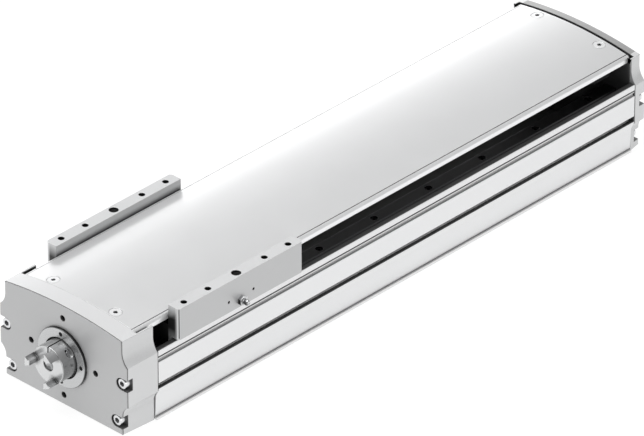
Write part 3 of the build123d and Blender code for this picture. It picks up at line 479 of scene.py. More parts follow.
def build_edge_group() -> bpy.types.NodeTree:
    """Where an edge is painted: highlight and rubbed wear where a finish lifts it, shade where it
    lowers it.

    Returns:
        A group that takes a Width and gives a Mask from 0 to 1.
    """
    flat_face, full_edge = 0.995, 0.86
    patch_scale, patch_detail, patch_share, patch_floor = 160.0, 3.0, 0.5, 0.55
    group = new_group("edge_wear", {"Width": 0.5 * MM}, ("Mask",))
    shader = Shader(group)
    given = shader.add("NodeGroupInput").outputs
    rounded = shader.add(
        "ShaderNodeBevel", {"Radius": given["Width"]}, samples=EFFECT_SAMPLES
    ).outputs["Normal"]
    flat = shader.add("ShaderNodeNewGeometry").outputs["Normal"]
    span = {"Value": shader.facing(rounded, flat), "From Min": flat_face, "From Max": full_edge}
    edge = shader.add("ShaderNodeMapRange", span).outputs["Result"]
    patches = shader.noise(shader.place(), patch_scale, patch_detail)
    holding = shader.sum(patches, patch_share, patch_floor)
    wear_and_light = shader.number("MULTIPLY", edge, holding, clamp=True)
    shader.add("NodeGroupOutput", {"Mask": wear_and_light})
    return group


def build_mottle_group() -> bpy.types.NodeTree:
    """Slow changes of tone and gloss over a large surface.

    Returns:
        A group that takes a Scale and gives Tone and Gloss, each about 0 on average.
    """
    patch_share, cloud_detail, patch_detail = 3.7, 4.0, 2.0
    group = new_group("slow_mottle", {"Scale": 12.0}, ("Tone", "Gloss"))
    shader = Shader(group)
    scale = shader.add("NodeGroupInput").outputs["Scale"]
    place = shader.place()
    cloud = shader.noise(place, scale, cloud_detail)
    patch = shader.noise(place, shader.number("MULTIPLY", scale, patch_share), patch_detail)
    tone = shader.sum(cloud, 2.0, -1.0)
    gloss = shader.sum(patch, 2.0, -1.0)
    shader.add("NodeGroupOutput", {"Tone": tone, "Gloss": gloss})
    return group


def build_hollow_shade_group() -> bpy.types.NodeTree:
    """How open a spot is, for painted shade: 1 on a free face, falling to 0 deep in a hole or slot.

    Returns:
        A group that takes a Distance and a Depth, the power of the fall, and gives Open.
    """
    group = new_group("cavity", {"Distance": 10.0 * MM, "Depth": 1.5}, ("Open",))
    shader = Shader(group)
    given = shader.add("NodeGroupInput").outputs
    around = shader.add(
        "ShaderNodeAmbientOcclusion",
        {"Distance": given["Distance"]},
        samples=EFFECT_SAMPLES,
        only_local=True,
    ).outputs["AO"]
    shader.add("NodeGroupOutput", {"Open": shader.number("POWER", around, given["Depth"])})
    return group


def build_region_group() -> bpy.types.NodeTree:
    """Mask of a box, the same on both sides of the middle plane where Mirror is 1.

    Returns:
        A group that takes the box's Low and High corners, a Fade along each axis and Mirror,
        and gives a Mask.
    """
    zero, one = (0.0, 0.0, 0.0), (1.0, 1.0, 1.0)
    inputs = {"Low": zero, "High": zero, "Fade": zero, "Mirror": 1.0}
    group = new_group("region", inputs, ("Mask",))
    shader = Shader(group)
    given = shader.add("NodeGroupInput").outputs
    place = shader.add("ShaderNodeSeparateXYZ", {0: shader.place()}).outputs
    spread = shader.number("SUBTRACT", shader.number("ABSOLUTE", place["Y"]), place["Y"])
    side = shader.number("MULTIPLY_ADD", spread, given["Mirror"], place["Y"])
    folded = shader.add("ShaderNodeCombineXYZ", {0: place["X"], 1: side, 2: place["Z"]}).outputs[0]
    above = shader.vector("SUBTRACT", folded, given["Low"])
    below = shader.vector("SUBTRACT", given["High"], folded)
    share = shader.vector("DIVIDE", shader.vector("MINIMUM", above, below), given["Fade"])
    held = shader.vector("MINIMUM", shader.vector("MAXIMUM", share, zero), one)
    parts = shader.add("ShaderNodeSeparateXYZ", {0: held}).outputs
    flat = shader.number("MULTIPLY", parts["X"], parts["Y"])
    shader.add("NodeGroupOutput", {"Mask": shader.number("MULTIPLY", flat, parts["Z"])})
    return group


CRISP = 0.05


@dataclass(frozen=True)
class Region:
    """A box in millimetres, as a rule on both sides, where a finish takes a painted tone, mostly
    shade.
    """

    x: Span
    y: Span
    z: Span
    tone: float = 0.02
    fade: tuple[float, float, float] = (CRISP, CRISP, CRISP)
    mirror: float = 1.0

    def inputs(self) -> dict[str, object]:
        """Inputs of the region group for this box.

        Returns:
            A value in metres for each of the group's inputs.
        """
        low, high = zip(self.x, self.y, self.z)
        rows = {"Low": low, "High": high, "Fade": self.fade}
        metres = {key: [value * MM for value in row] for key, row in rows.items()}
        return metres | {"Mirror": self.mirror}


@dataclass(frozen=True)
class SharedEffects:
    """The shader groups that every finish uses."""

    grain: bpy.types.NodeTree
    edges: bpy.types.NodeTree
    mottle: bpy.types.NodeTree
    cavity: bpy.types.NodeTree
    region: bpy.types.NodeTree

    @classmethod
    def build(cls) -> "SharedEffects":
        """Build each group once."""
        return cls(
            build_grain_group(),
            build_edge_group(),
            build_mottle_group(),
            build_hollow_shade_group(),
            build_region_group(),
        )


@dataclass(frozen=True)
class Finish:
    """One surface finish: colour, gloss, marks, worn and painted edges, painted shade and regions.
    """

    name: str
    colour: Colour
    roughness: float
    metallic: float = 1.0
    grain: Grain = Grain.BLASTED
    mark_width: float = 0.4 * MM
    mark_depth: float = 0.003 * MM
    mark_gloss: float = 0.08
    # Edges: a gain above 1 paints highlight and wear, below 1 paints shade
    edge_width: float = 0.6 * MM
    edge_gain: float = 1.15
    mottle_scale: float = 12.0
    mottle_tone: float = 0.02
    mottle_gloss: float = 0.03
    # Painted shade in hollows: how far it looks and how fast it falls
    hollow_shade_distance: float = 12.0 * MM
    hollow_shade_depth: float = 1.6
    # Painted shade on the faces that look the flank's way: how dark, and which way
    flank_shade_tone: float = 1.0
    shaded_flank: tuple[float, float, float] = (0.0, 0.0, 0.0)
    both_ways: bool = True
    regions: tuple[Region, ...] = ()

    def build(self, effects: SharedEffects) -> bpy.types.Material:
        """Build the finish as a material.

        Args:
            effects: The shared shader groups.

        Returns:
            The material.
        """
        material = bpy.data.materials.new(self.name)
        material.use_nodes = True
        material.node_tree.nodes.clear()
        shader = Shader(material.node_tree)
        mottle = shader.group(effects.mottle, {"Scale": self.mottle_scale})
        stretch_and_scale = {"Stretch": self.grain.value, "Scale": 1.0 / self.mark_width}
        grain = shader.group(effects.grain, stretch_and_scale)
        base = self._worn_and_shaded_colour(shader, effects, mottle["Tone"])
        # Painted shade on the faces that look one way
        if self.flank_shade_tone < 1.0:
            base = self._painted_flank_shade(shader, base)
        for region in self.regions:
            mask = shader.group(effects.region, region.inputs())["Mask"]
            base = shader.mixed(mask, base, (region.tone,) * 3)
        smoothest = self.roughness - self.mark_gloss / 2
        marked = shader.sum(grain["Value"], self.mark_gloss, smoothest)
        rough = shader.sum(mottle["Gloss"], self.mottle_gloss, marked)
        relief = {"Height": grain["Height"], "Distance": self.mark_depth, "Strength": 1.0}
        bump = shader.add("ShaderNodeBump", relief).outputs["Normal"]
        surface = shader.add(
            "ShaderNodeBsdfPrincipled",
            {"Base Color": base, "Roughness": rough, "Normal": bump, "Metallic": self.metallic},
        )
        shader.add("ShaderNodeOutputMaterial", {"Surface": surface.outputs["BSDF"]})
        return material

    def _worn_and_shaded_colour(self, shader: Shader, effects: SharedEffects, mottle: Socket) -> Socket:
        """The colour with its mottle, its painted edges and painted shade in its hollows.

        Args:
            shader: The material's nodes.
            effects: The shared shader groups.
            mottle: Slow changes of tone.

        Returns:
            The colour as a socket.
        """
        toned = shader.scaled(self.colour, shader.sum(mottle, self.mottle_tone, 1.0))
        edges = shader.group(effects.edges, {"Width": self.edge_width})
        # Edges painted lighter where the gain is above 1, as highlight and wear, and darker as
        # shade where it is below 1
        edge_colour = tuple(min(1.0, channel * self.edge_gain) for channel in self.colour)
        colour = shader.mixed(edges["Mask"], toned, edge_colour)
        hollow = {"Distance": self.hollow_shade_distance, "Depth": self.hollow_shade_depth}
        # Painted shade: the colour falls towards black deep in hollows
        return shader.scaled(colour, shader.group(effects.cavity, hollow)["Open"])

    def _painted_flank_shade(self, shader: Shader, base: Socket) -> Socket:
        """Paint shade on the faces that look the flank's way.

        Args:
            shader: The material's nodes.
            base: The colour so far.

        Returns:
            The colour with its flanks darkened.
        """
        normal = shader.add("ShaderNodeTexCoord").outputs["Normal"]
        if self.both_ways:
            normal = shader.vector("ABSOLUTE", normal)
        facing = shader.facing(normal, self.shaded_flank)
        toward = shader.add("ShaderNodeClamp", {"Value": facing}).outputs[0]
        return shader.scaled(base, shader.sum(toward, self.flank_shade_tone - 1.0, 1.0))


# Regions with a painted tone of their own, in millimetres; most of them are painted shade

WHOLE_LENGTH = (-400.0, 400.0)
PAST_MIDDLE = -10.0
SCREW_POCKET_FADE = (0.4, 0.3, 0.3)

# Profile: painted shade on its hidden inside, lip tops and slot lips; plain tone in slot pockets
# and on foot tops
PROFILE_INSIDE = Region(WHOLE_LENGTH, (PAST_MIDDLE, 74.6), (21.0, 74.7), tone=0.18)
LIP_TOP = Region(WHOLE_LENGTH, (74.0, 79.6), (74.3, 76.0), tone=0.07)
SLOT_POCKET = Region(WHOLE_LENGTH, (70.0, 76.5), (30.0, 43.6), tone=0.8)
SLOT_LIPS = Region(WHOLE_LENGTH, (76.4, 79.9), (34.7, 40.9), tone=0.06)
FOOT_TOP = Region(WHOLE_LENGTH, (75.6, 77.6), (0.0, 3.3), tone=0.80)

# Cover: a painted shade line along its groove, on one side only
COVER_LINE = Region(WHOLE_LENGTH, (-66.4, -65.5), (98.0, 102.0), tone=0.05, mirror=0.0)

# Slide: painted shade below the cover, in the arms' holes and on the arms' drive ends, fading out
# towards the top
SLIDE_INSIDE = Region(WHOLE_LENGTH, (PAST_MIDDLE, 70.4), (50.0, 104.5), fade=(CRISP, CRISP, 8.0))
ARM_HOLES = Region((-292.6, -134.6), (70.9, 82.9), (77.6, 108.7), fade=(0.1, 0.1, 0.6))
ARM_FRONT = Region(
    (-294.6, -293.3), (0.0, 80.8), (70.0, 112.0), tone=0.03, fade=(CRISP, 2.5, 16.0)
)

# End caps: painted shade on the front rim's edge, in the cover pockets, under the far rim and in
# screw pockets; far rim top darker
FRONT_RIM = Region((-355.56, -354.5), (0.0, 85.0), (0.0, 110.0), tone=0.12)
DRIVE_POCKET = Region((-335.7, -317.1), (PAST_MIDDLE, 72.4), (60.0, 98.5))
FAR_POCKET = Region((316.0, 321.2), (PAST_MIDDLE, 72.4), (60.0, 104.0))
RIM_GAP = Region((316.0, 322.3), (PAST_MIDDLE, 72.4), (98.0, 110.0))
FAR_RIM = Region((322.2, 329.8), (PAST_MIDDLE, 73.5), (100.2, 110.0), tone=0.42)
SCREW_POCKETS = tuple(
    Region(pocket_depth, (inner, 90.0), heights, tone=0.08, fade=SCREW_POCKET_FADE)
    for pocket_depth in ((-355.7, -348.5), (322.5, 329.7))
    for inner, heights in ((66.2, (48.5, 61.5)), (59.5, (7.0, 20.0)))
)

FINISHES = (
    # Painted shade in the profile's hollows and regions
    Finish(
        "anodised_extrusion", (0.79, 0.795, 0.80), 0.42, 0.5, Grain.DRAWN,
        mark_width=0.45 * MM, mark_gloss=0.10, hollow_shade_depth=0.75,
        regions=(PROFILE_INSIDE, LIP_TOP, SLOT_POCKET, SLOT_LIPS, FOOT_TOP),
    ),
    # Painted shade in hollows, round the screws, and a painted shade line on one side
    Finish(
        "anodised_sheet", (0.90, 0.905, 0.91), 0.33, 0.7, Grain.DRAWN,
        mark_width=0.6 * MM, mark_depth=0.002 * MM, mark_gloss=0.06,
        hollow_shade_distance=0.8 * MM, hollow_shade_depth=1.2, regions=(COVER_LINE,),
    ),
    # Painted shade on the front faces, on the edges and in the regions of the caps
    Finish(
        "blasted_casting", (0.80, 0.805, 0.81), 0.37, 0.35,
        mark_width=0.35 * MM, mark_depth=0.02 * MM, edge_width=0.9 * MM, edge_gain=0.62,
        flank_shade_tone=0.56, shaded_flank=(0.85, 0.48, 0.0),
        regions=(FRONT_RIM, DRIVE_POCKET, FAR_POCKET, FAR_RIM, RIM_GAP, *SCREW_POCKETS),
    ),
    # Painted shade on the faces that look sideways and in the slide's regions
    Finish(
        "milled_aluminium", (0.76, 0.765, 0.77), 0.38, 0.5, Grain.MILLED, mark_gloss=0.10,
        flank_shade_tone=0.66, shaded_flank=(0.0, 1.0, 0.0), regions=(SLIDE_INSIDE, ARM_HOLES, ARM_FRONT),
    ),
    # Painted shade on the faces that look sideways and in the hub's hollows
    Finish(
        "turned_aluminium", (0.68, 0.685, 0.69), 0.24, 0.7, Grain.TURNED,
        mark_width=0.25 * MM, mark_gloss=0.10, hollow_shade_distance=5.0 * MM, hollow_shade_depth=2.2,
        flank_shade_tone=0.45, shaded_flank=(0.0, 1.0, 0.2),
    ),
    # Painted shade, nearly black, on the faces that look sideways, up and down
    Finish(
        "polished_collar", (0.55, 0.555, 0.56), 0.24, 0.8, Grain.TURNED,
        mark_width=0.25 * MM, mark_gloss=0.10, hollow_shade_distance=5.0 * MM,
        flank_shade_tone=0.05, shaded_flank=(0.0, 0.9, 0.9),
    ),
    Finish(
        "zinc_plated_steel", (0.72, 0.725, 0.735), 0.26,
        mark_gloss=0.10, hollow_shade_distance=4.0 * MM, hollow_shade_depth=0.8,
    ),
    # Painted shade, nearly black, on the faces that look towards the drive end and downwards
    Finish(
        "nipple_steel", (0.74, 0.745, 0.755), 0.22,
        mark_gloss=0.10, hollow_shade_distance=4.0 * MM, hollow_shade_depth=1.4,
        flank_shade_tone=0.02, shaded_flank=(-1.0, 0.0, -0.25), both_ways=False,
    ),
    # Strong painted shade in hollows, which paints the rings round the heads dark
    Finish(
        "bright_screw_steel", (0.90, 0.905, 0.91), 0.30, 0.3, Grain.TURNED,
        mark_depth=0.002 * MM, mark_gloss=0.06, hollow_shade_distance=1.6 * MM, hollow_shade_depth=6.0,
    ),
    Finish("dark_steel", (0.05, 0.05, 0.052), 0.34, 0.8, mark_depth=0.004 * MM),
    Finish(
        "ground_steel", (0.45, 0.455, 0.46), 0.20, 1.0, Grain.DRAWN,
        mark_width=0.3 * MM, mark_depth=0.002 * MM,
    ),
    # Black so that the rails stand in for the shade inside the profile; edges painted bright as
    # highlight and wear
    Finish(
        "black_oxide_steel", (0.10, 0.10, 0.102), 0.34, 0.9, Grain.DRAWN,
        mark_width=0.3 * MM, mark_depth=0.002 * MM, edge_width=0.8 * MM, edge_gain=3.5,
    ),
    Finish("black_anodised", (0.08, 0.08, 0.082), 0.45, 0.3, Grain.MILLED),
    Finish(
        "bearing_steel", (0.66, 0.67, 0.68), 0.14, 1.0, Grain.TURNED,
        mark_width=0.3 * MM, mark_depth=0.001 * MM, mark_gloss=0.05,
    ),
    # Black gasket, whose black stands in for the shade in the seams
    Finish(
        "seam_gasket", (0.04, 0.04, 0.041), 0.6, 0.0, mark_width=0.5 * MM, mark_depth=0.01 * MM
    ),
    Finish(
        "black_seal", (0.02, 0.02, 0.021), 0.48, 0.0, mark_width=0.5 * MM, mark_depth=0.01 * MM
    ),
)


# Screws and nipples


@dataclass(frozen=True)
class ScrewShape:
    """Outline of a socket screw: its socket and the rings from its rim to its tip."""

    name: str
    hexagon: float
    socket_depth: float
    rings: Rings
    sides_per_flat: int = 5

    def build(self) -> bpy.types.Object:
        """Model the screw at the origin with its head's top at Z 0, pointing down.

        Returns:
            The screw, closed, with its mesh around the Z axis.
        """
        corner = self.hexagon / math.sqrt(3)
        floor = -self.socket_depth
        bpy.ops.mesh.primitive_circle_add(
            vertices=6, radius=corner, fill_type="NOTHING", location=(0.0, 0.0, floor)
        )
        screw = bpy.context.active_object
        screw.name = self.name
        bpy.ops.object.transform_apply(location=True)
        with editing(screw):
            bpy.ops.mesh.select_mode(type="EDGE")
            bpy.ops.mesh.select_all(action="SELECT")
            bpy.ops.mesh.subdivide(number_cuts=self.sides_per_flat - 1)
            bpy.ops.mesh.edge_face_add()
            extrude_loop(1.0, self.socket_depth, floor)
            extrude_loop(1.0, 0.0, 0.0)
            bpy.ops.transform.tosphere(value=1.0)
            extrude_rings(self.rings, self._mean_radius(screw), 0.0)
            bpy.ops.mesh.edge_face_add()
        close_up(screw)
        smooth(screw, SMOOTH_SCREW)
        return screw

    def _mean_radius(self, screw: bpy.types.Object) -> float:
        """Mean radius of the selected points about the Z axis.

        Args:
            screw: The screw, in edit mode.

        Returns:
            The mean radius.
        """
        mesh = bmesh.from_edit_mesh(screw.data)
        spread = [math.hypot(point.co.x, point.co.y) for point in mesh.verts if point.select]
        return sum(spread) / len(spread)


def cap_head_rings(head: float, height: float, shank: float, length: float) -> Rings:
    """Rings of a cylinder head with a rounded rim, its shank and its tip.

    Args:
        head: Head radius.
        height: Head height.
        shank: Shank radius.
        length: Shank length below the head.

    Returns:
        Radius and height of each ring, from the socket's rim to the tip.
    """
    rim_share, crest_share, tip_share = 0.09, 0.3, 0.12
    rim = rim_share * head
    crest = crest_share * rim
    chamfer = tip_share * shank
    return (
        (head - rim, 0.0),
        (head - crest, -crest),
        (head, -rim),
        (head, -height),
        (shank, -height),
        (shank, -height - length + chamfer),
        (shank - chamfer, -height - length),
    )


@dataclass
class Nipple:
    """Grease nipple: hexagon, neck and a ball head with its valve."""

    hexagon: float = 9.0 * MM
    hexagon_length: float = 3.6 * MM
    neck: float = 2.3 * MM
    ball: float = 2.9 * MM
    length: float = 10.0 * MM
    thread: float = 3.0 * MM
    thread_length: float = 6.0 * MM
    thread_gap: float = 0.1 * MM
    chamfer: float = 0.35 * MM
    shoulder: float = 0.3 * MM
    neck_start: float = 0.9 * MM
    valve_share: float = 0.7
    valve_taper: float = 0.9
    valve_depth: float = 0.5 * MM
    ball_top_angle: float = 76.0
    ball_steps: int = 7
    points_round: int = 24

    def build(self) -> bpy.types.Object:
        """Model the nipple on the Z axis, its hexagon standing on Z 0.

        Returns:
            The nipple as one object.
        """
        bpy.ops.mesh.primitive_cylinder_add(
            vertices=6,
            radius=self.hexagon / math.sqrt(3),
            depth=self.hexagon_length,
            location=(0.0, 0.0, self.hexagon_length / 2),
        )
        nut = bpy.context.active_object
        bpy.ops.object.transform_apply(location=True)
        edge = nut.modifiers.new("chamfer", "BEVEL")
        edge.width = self.chamfer
        edge.segments = BREAK_STEPS
        apply_modifiers(nut)
        bpy.ops.mesh.primitive_circle_add(
            vertices=self.points_round,
            radius=self.thread,
            fill_type="NGON",
            location=(0.0, 0.0, -self.thread_length),
        )
        body = bpy.context.active_object
        bpy.ops.object.transform_apply(location=True)
        with editing(body):
            bpy.ops.mesh.select_all(action="SELECT")
            extrude_rings(self._rings(), self.thread, -self.thread_length)
        close_up(body)
        nipple = join((nut, body))
        smooth(nipple, SMOOTH_TURNED)
        return nipple

    def _rings(self) -> Rings:
        """Rings from the thread up to the valve.

        Returns:
            Radius and height of each ring.
        """
        centre = self.length - self.ball
        lowest = -math.acos(self.neck / self.ball)
        highest = math.radians(self.ball_top_angle)
        rings = [
            (self.thread, -self.thread_gap),
            (self.thread, self.hexagon_length + self.shoulder),
            (self.neck, self.hexagon_length + self.neck_start),
        ]
        for step in range(self.ball_steps + 1):
            turn = lowest + (highest - lowest) * step / self.ball_steps
            rings.append((self.ball * math.cos(turn), centre + self.ball * math.sin(turn)))
        rim, top = rings[-1]
        valve = rim * self.valve_share
        return [*rings, (valve, top), (valve * self.valve_taper, top - self.valve_depth)]


# Sub-assemblies


@dataclass
class Assembly:
    """Pieces that are built and dressed together."""

    finishes: dict[str, bpy.types.Material]
    pieces: dict[str, bpy.types.Object] = field(default_factory=dict)

    def build(self) -> None:
        """Model what stands for frame nodes: nothing, where all of them are kept."""

    def dress(self) -> None:
        """Give each piece its finish, as each sub-assembly says."""
        raise NotImplementedError

    def dress_pieces(self, table: dict[str, tuple[str, str, str]]) -> None:
        """Dress new pieces, each of which stands for the frame node of its key.

        Args:
            table: Finish, body and material slot for each piece.
        """
        for node, (look, body, slot) in table.items():
            finish_piece(self.pieces[node], self.finishes[look], body, slot, node)

    def dress_kept(self, look: str, *nodes: str) -> None:
        """Dress frame nodes that keep their own mesh in a finish."""
        dress_nodes(self.finishes[look], *nodes)


@dataclass
class Housing(Assembly):
    """Profile, end caps with their screws and the seam plates between them."""

    broken_edge: float = 0.25 * MM
    cap_shoulder_round: float = 1.2 * MM
    cap_shoulder_y: Span = (72.9 * MM, 74.7 * MM)
    cap_shoulder_z: Span = (98.0 * MM, 100.0 * MM)
    cap_shoulder_shortest: float = 4.0 * MM
    screw_radius: float = 3.0 * MM
    head_radius: float = 5.0 * MM
    head_height: float = 6.0 * MM
    hexagon: float = 5.0 * MM
    socket_depth: float = 3.0 * MM
    lower_screw_inset: float = 6.7 * MM

    def build(self) -> None:
        """Break the housing's edges and model its cap screws."""
        self.pieces["profile"] = softened_copy("profile", "profile_deburred", self.broken_edge)
        rounded = (self._is_cap_shoulder, self.cap_shoulder_round)
        for node in ("drive_end_cap", "far_end_cap"):
            self.pieces[node] = softened_copy(node, f"{node}_deburred", self.broken_edge, rounded)
        for node, inwards in (("drive_cap_screws", 1.0), ("far_cap_screws", -1.0)):
            self.pieces[node] = self._cap_screws(node, inwards)

    def _is_cap_shoulder(self, first: Vector, last: Vector) -> bool:
        """Whether an edge is the long one between a cap's arched top and its side.

        Args:
            first: One end of the edge.
            last: Its other end.

        Returns:
            True for such an edge.
        """
        (inner, outer), (lower, upper) = self.cap_shoulder_y, self.cap_shoulder_z
        lengthways = abs(first.x - last.x) > self.cap_shoulder_shortest
        return lengthways and all(
            inner < abs(end.y) < outer and lower < end.z < upper for end in (first, last)
        )

    def _cap_screws(self, node: str, inwards: float) -> bpy.types.Object:
        """Model the four screws of one cap.

        Args:
            node: The frame's node for these screws.
            inwards: +1 where the screws point along +X, -1 where they point back.

        Returns:
            The four screws as one object.
        """
        low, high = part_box(node)
        length = high.x - low.x - self.head_height
        rings = cap_head_rings(self.head_radius, self.head_height, self.screw_radius, length)
        screw = ScrewShape(f"{node}_master", self.hexagon, self.socket_depth, rings).build()
        outer = low.x if inwards > 0 else high.x
        reach = high.y - self.head_radius
        bottom = low.z + self.head_radius
        top = high.z - self.head_radius
        places = [
            along(Vector((-inwards, 0, 0)), Vector((outer, side * y, z)))
            for side in (-1.0, 1.0)
            for y, z in ((reach, top), (reach - self.lower_screw_inset, bottom))
        ]
        return copies(screw, places, f"{node}_socket_heads")

    def dress(self) -> None:
        """Give each piece its finish and its body."""
        self.dress_pieces({
            "profile": ("anodised_extrusion", "frame", "profile"),
            "drive_end_cap": ("blasted_casting", "frame", "end_caps"),
            "far_end_cap": ("blasted_casting", "frame", "end_caps"),
            "drive_cap_screws": ("zinc_plated_steel", "frame", "screws"),
            "far_cap_screws": ("zinc_plated_steel", "frame", "screws"),
        })
        # The seam plates are black so that the seams show the shade of a gap
        self.dress_kept("seam_gasket", "drive_seam_plate", "far_seam_plate")


@dataclass
class Cover(Assembly):
    """Arched cover sheet and its countersunk screws."""

    broken_edge: float = 0.2 * MM
    crown: float = 105.4 * MM
    edge_height: float = 100.3 * MM
    flat_half_width: float = 66.0 * MM
    screw_offset: float = 39.1 * MM
    screw_inset_drive: float = 7.1 * MM
    screw_inset_far: float = 8.4 * MM
    head_radius: float = 5.75 * MM
    head_height: float = 2.5 * MM
    shank_radius: float = 3.0 * MM
    shank_length: float = 9.5 * MM
    rim: float = 0.25 * MM
    hexagon: float = 4.0 * MM
    socket_depth: float = 1.8 * MM

    def build(self) -> None:
        """Break the sheet's edges and model the four screws."""
        self.pieces["cover"] = softened_copy("cover", "cover_sheet", self.broken_edge)
        tip = -self.head_height - self.shank_length
        rings = (
            (self.head_radius - self.rim, 0.0),
            (self.head_radius, -self.rim),
            (self.shank_radius, -self.head_height),
            (self.shank_radius, tip + self.rim),
            (self.shank_radius - self.rim, tip),
        )
        screw = ScrewShape("cover_screw_master", self.hexagon, self.socket_depth, rings).build()
        places = self._screw_places()
        self.pieces["cover_screws"] = copies(screw, places, "cover_countersunk_screws")

    def _screw_places(self) -> list[Matrix]:
        """Places on the arch, each square to the sheet.

        Returns:
            The four screws' places.
        """
        rise = self.crown - self.edge_height
        radius = (self.flat_half_width**2 + rise**2) / (2 * rise)
        centre = Vector((0.0, 0.0, self.crown - radius))
        low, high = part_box("cover")
        places = []
        for x in (low.x + self.screw_inset_drive, high.x - self.screw_inset_far):
            for side in (-1.0, 1.0):
                lean = math.asin(side * self.screw_offset / radius)
                outwards = Vector((0.0, math.sin(lean), math.cos(lean)))
                spot = centre + outwards * radius
                places.append(along(outwards, Vector((x, spot.y, spot.z))))
        return places

    def dress(self) -> None:
        """Give the sheet and its screws their finish and body."""
        self.dress_pieces({
            "cover": ("anodised_sheet", "frame", "cover"),
            "cover_screws": ("bright_screw_steel", "frame", "screws"),
        })


@dataclass
class DriveEnd(Assembly):
    """Pilot collar, coupling hub and the drive bearings behind them."""

    broken_edge: float = 0.3 * MM

    def build(self) -> None:
        """Break the edges of the turned pieces."""
        for node in ("pilot_collar", "coupling_hub", "clamp_screw", "collar_screws"):
            self.pieces[node] = softened_copy(node, f"{node}_turned", self.broken_edge)

    def dress(self) -> None:
        """Give each piece its finish and its body."""
        self.dress_pieces({
            "pilot_collar": ("polished_collar", "frame", "end_caps"),
            "coupling_hub": ("turned_aluminium", "spindle", "coupling"),
            "clamp_screw": ("zinc_plated_steel", "spindle", "screws"),
            "collar_screws": ("dark_steel", "frame", "screws"),
        })
        self.dress_kept("black_seal", "shaft_seal")
        self.dress_kept(
            "bearing_steel",
            "drive_bearing_outer_rings",
            "drive_bearing_balls",
            "drive_bearing_inner_rings",
        )
        self.dress_kept("dark_steel", "bearing_lock_nut", "bearing_retainer", "retainer_screws")


@dataclass
class FarEnd(Assembly):
    """Far bearing block with its screws and floating bearing, all kept from the frame."""

    def dress(self) -> None:
        """Give each frame node its finish."""
        self.dress_kept("black_anodised", "far_bearing_block")
        self.dress_kept("zinc_plated_steel", "far_block_screws")
        self.dress_kept(
            "bearing_steel", "far_bearing_outer_ring", "far_bearing_balls", "far_bearing_inner_ring"
        )
        self.dress_kept("dark_steel", "far_snap_ring")


@dataclass
class Guides(Assembly):
    """Rails, rail screws, guide blocks, seals and stops."""

    broken_edge: float = 0.2 * MM
    head_radius: float = 3.5 * MM
    head_height: float = 4.0 * MM
    shank_radius: float = 2.0 * MM
    shank_length: float = 16.0 * MM
    hexagon: float = 3.0 * MM
    socket_depth: float = 2.2 * MM
    sides_per_flat: int = 4
    pitch: float = 72.5 * MM

    def build(self) -> None:
        """Break the rails' edges and model their screws."""
        for hand in ("left", "right"):
            rail = f"guide_rail_{hand}"
            self.pieces[rail] = softened_copy(rail, f"{rail}_ground", self.broken_edge)
            self.pieces[f"rail_screws_{hand}"] = self._rail_screws(f"rail_screws_{hand}")

    def _rail_screws(self, node: str) -> bpy.types.Object:
        """Model one rail's row of screws.

        Args:
            node: The frame's node for these screws.

        Returns:
            The row as one object.
        """
        low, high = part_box(node)
        rings = cap_head_rings(
            self.head_radius, self.head_height, self.shank_radius, self.shank_length
        )
        screw = ScrewShape(
            f"{node}_master", self.hexagon, self.socket_depth, rings, self.sides_per_flat
        ).build()
        middle = (low.y + high.y) / 2
        count = round((high.x - low.x - 2 * self.head_radius) / self.pitch) + 1
        first = low.x + self.head_radius
        places = [
            Matrix.Translation((first + step * self.pitch, middle, high.z))
            for step in range(count)
        ]
        return copies(screw, places, f"{node}_row")

    def dress(self) -> None:
        """Give each piece its finish and its body."""
        for hand in ("left", "right"):
            self.dress_pieces({
                # Black rails stand in for the shade inside the profile
                f"guide_rail_{hand}": ("black_oxide_steel", "frame", "guides"),
                f"rail_screws_{hand}": ("dark_steel", "frame", "screws"),
            })
        self.dress_kept("ground_steel", "guide_blocks")
        self.dress_kept("black_seal", "guide_end_seals", "drive_buffers", "far_buffers")
        self.dress_kept("dark_steel", "guide_block_screws")


@dataclass
class Slide(Assembly):
    """The slide with its grease nipples, the nut bracket and the ball nut."""

    broken_edge: float = 0.3 * MM
    nipple: Nipple = field(default_factory=Nipple)

    def build(self) -> None:
        """Break the slide's edges and model the nipples."""
        self.pieces["slide"] = softened_copy("slide", "slide_milled", self.broken_edge)
        for hand, side in (("left", 1.0), ("right", -1.0)):
            node = f"grease_nipple_{hand}"
            low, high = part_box(node)
            middle = (low + high) / 2
            reach = self.nipple.thread_length
            face = low.y + reach if side > 0 else high.y - reach
            piece = self.nipple.build()
            piece.name = f"{node}_turned"
            foot = Vector((middle.x, face, middle.z))
            settle(piece, along(Vector((0.0, side, 0.0)), foot))
            self.pieces[node] = piece

    def dress(self) -> None:
        """Give each piece its finish and its body."""
        self.dress_pieces({
            "slide": ("milled_aluminium", "carriage", "slide"),
            "grease_nipple_left": ("nipple_steel", "carriage", "screws"),
            "grease_nipple_right": ("nipple_steel", "carriage", "screws"),
        })
        self.dress_kept("milled_aluminium", "nut_bracket")
        self.dress_kept("ground_steel", "ball_nut")
        self.dress_kept("dark_steel", "nut_bracket_screws", "nut_screws")


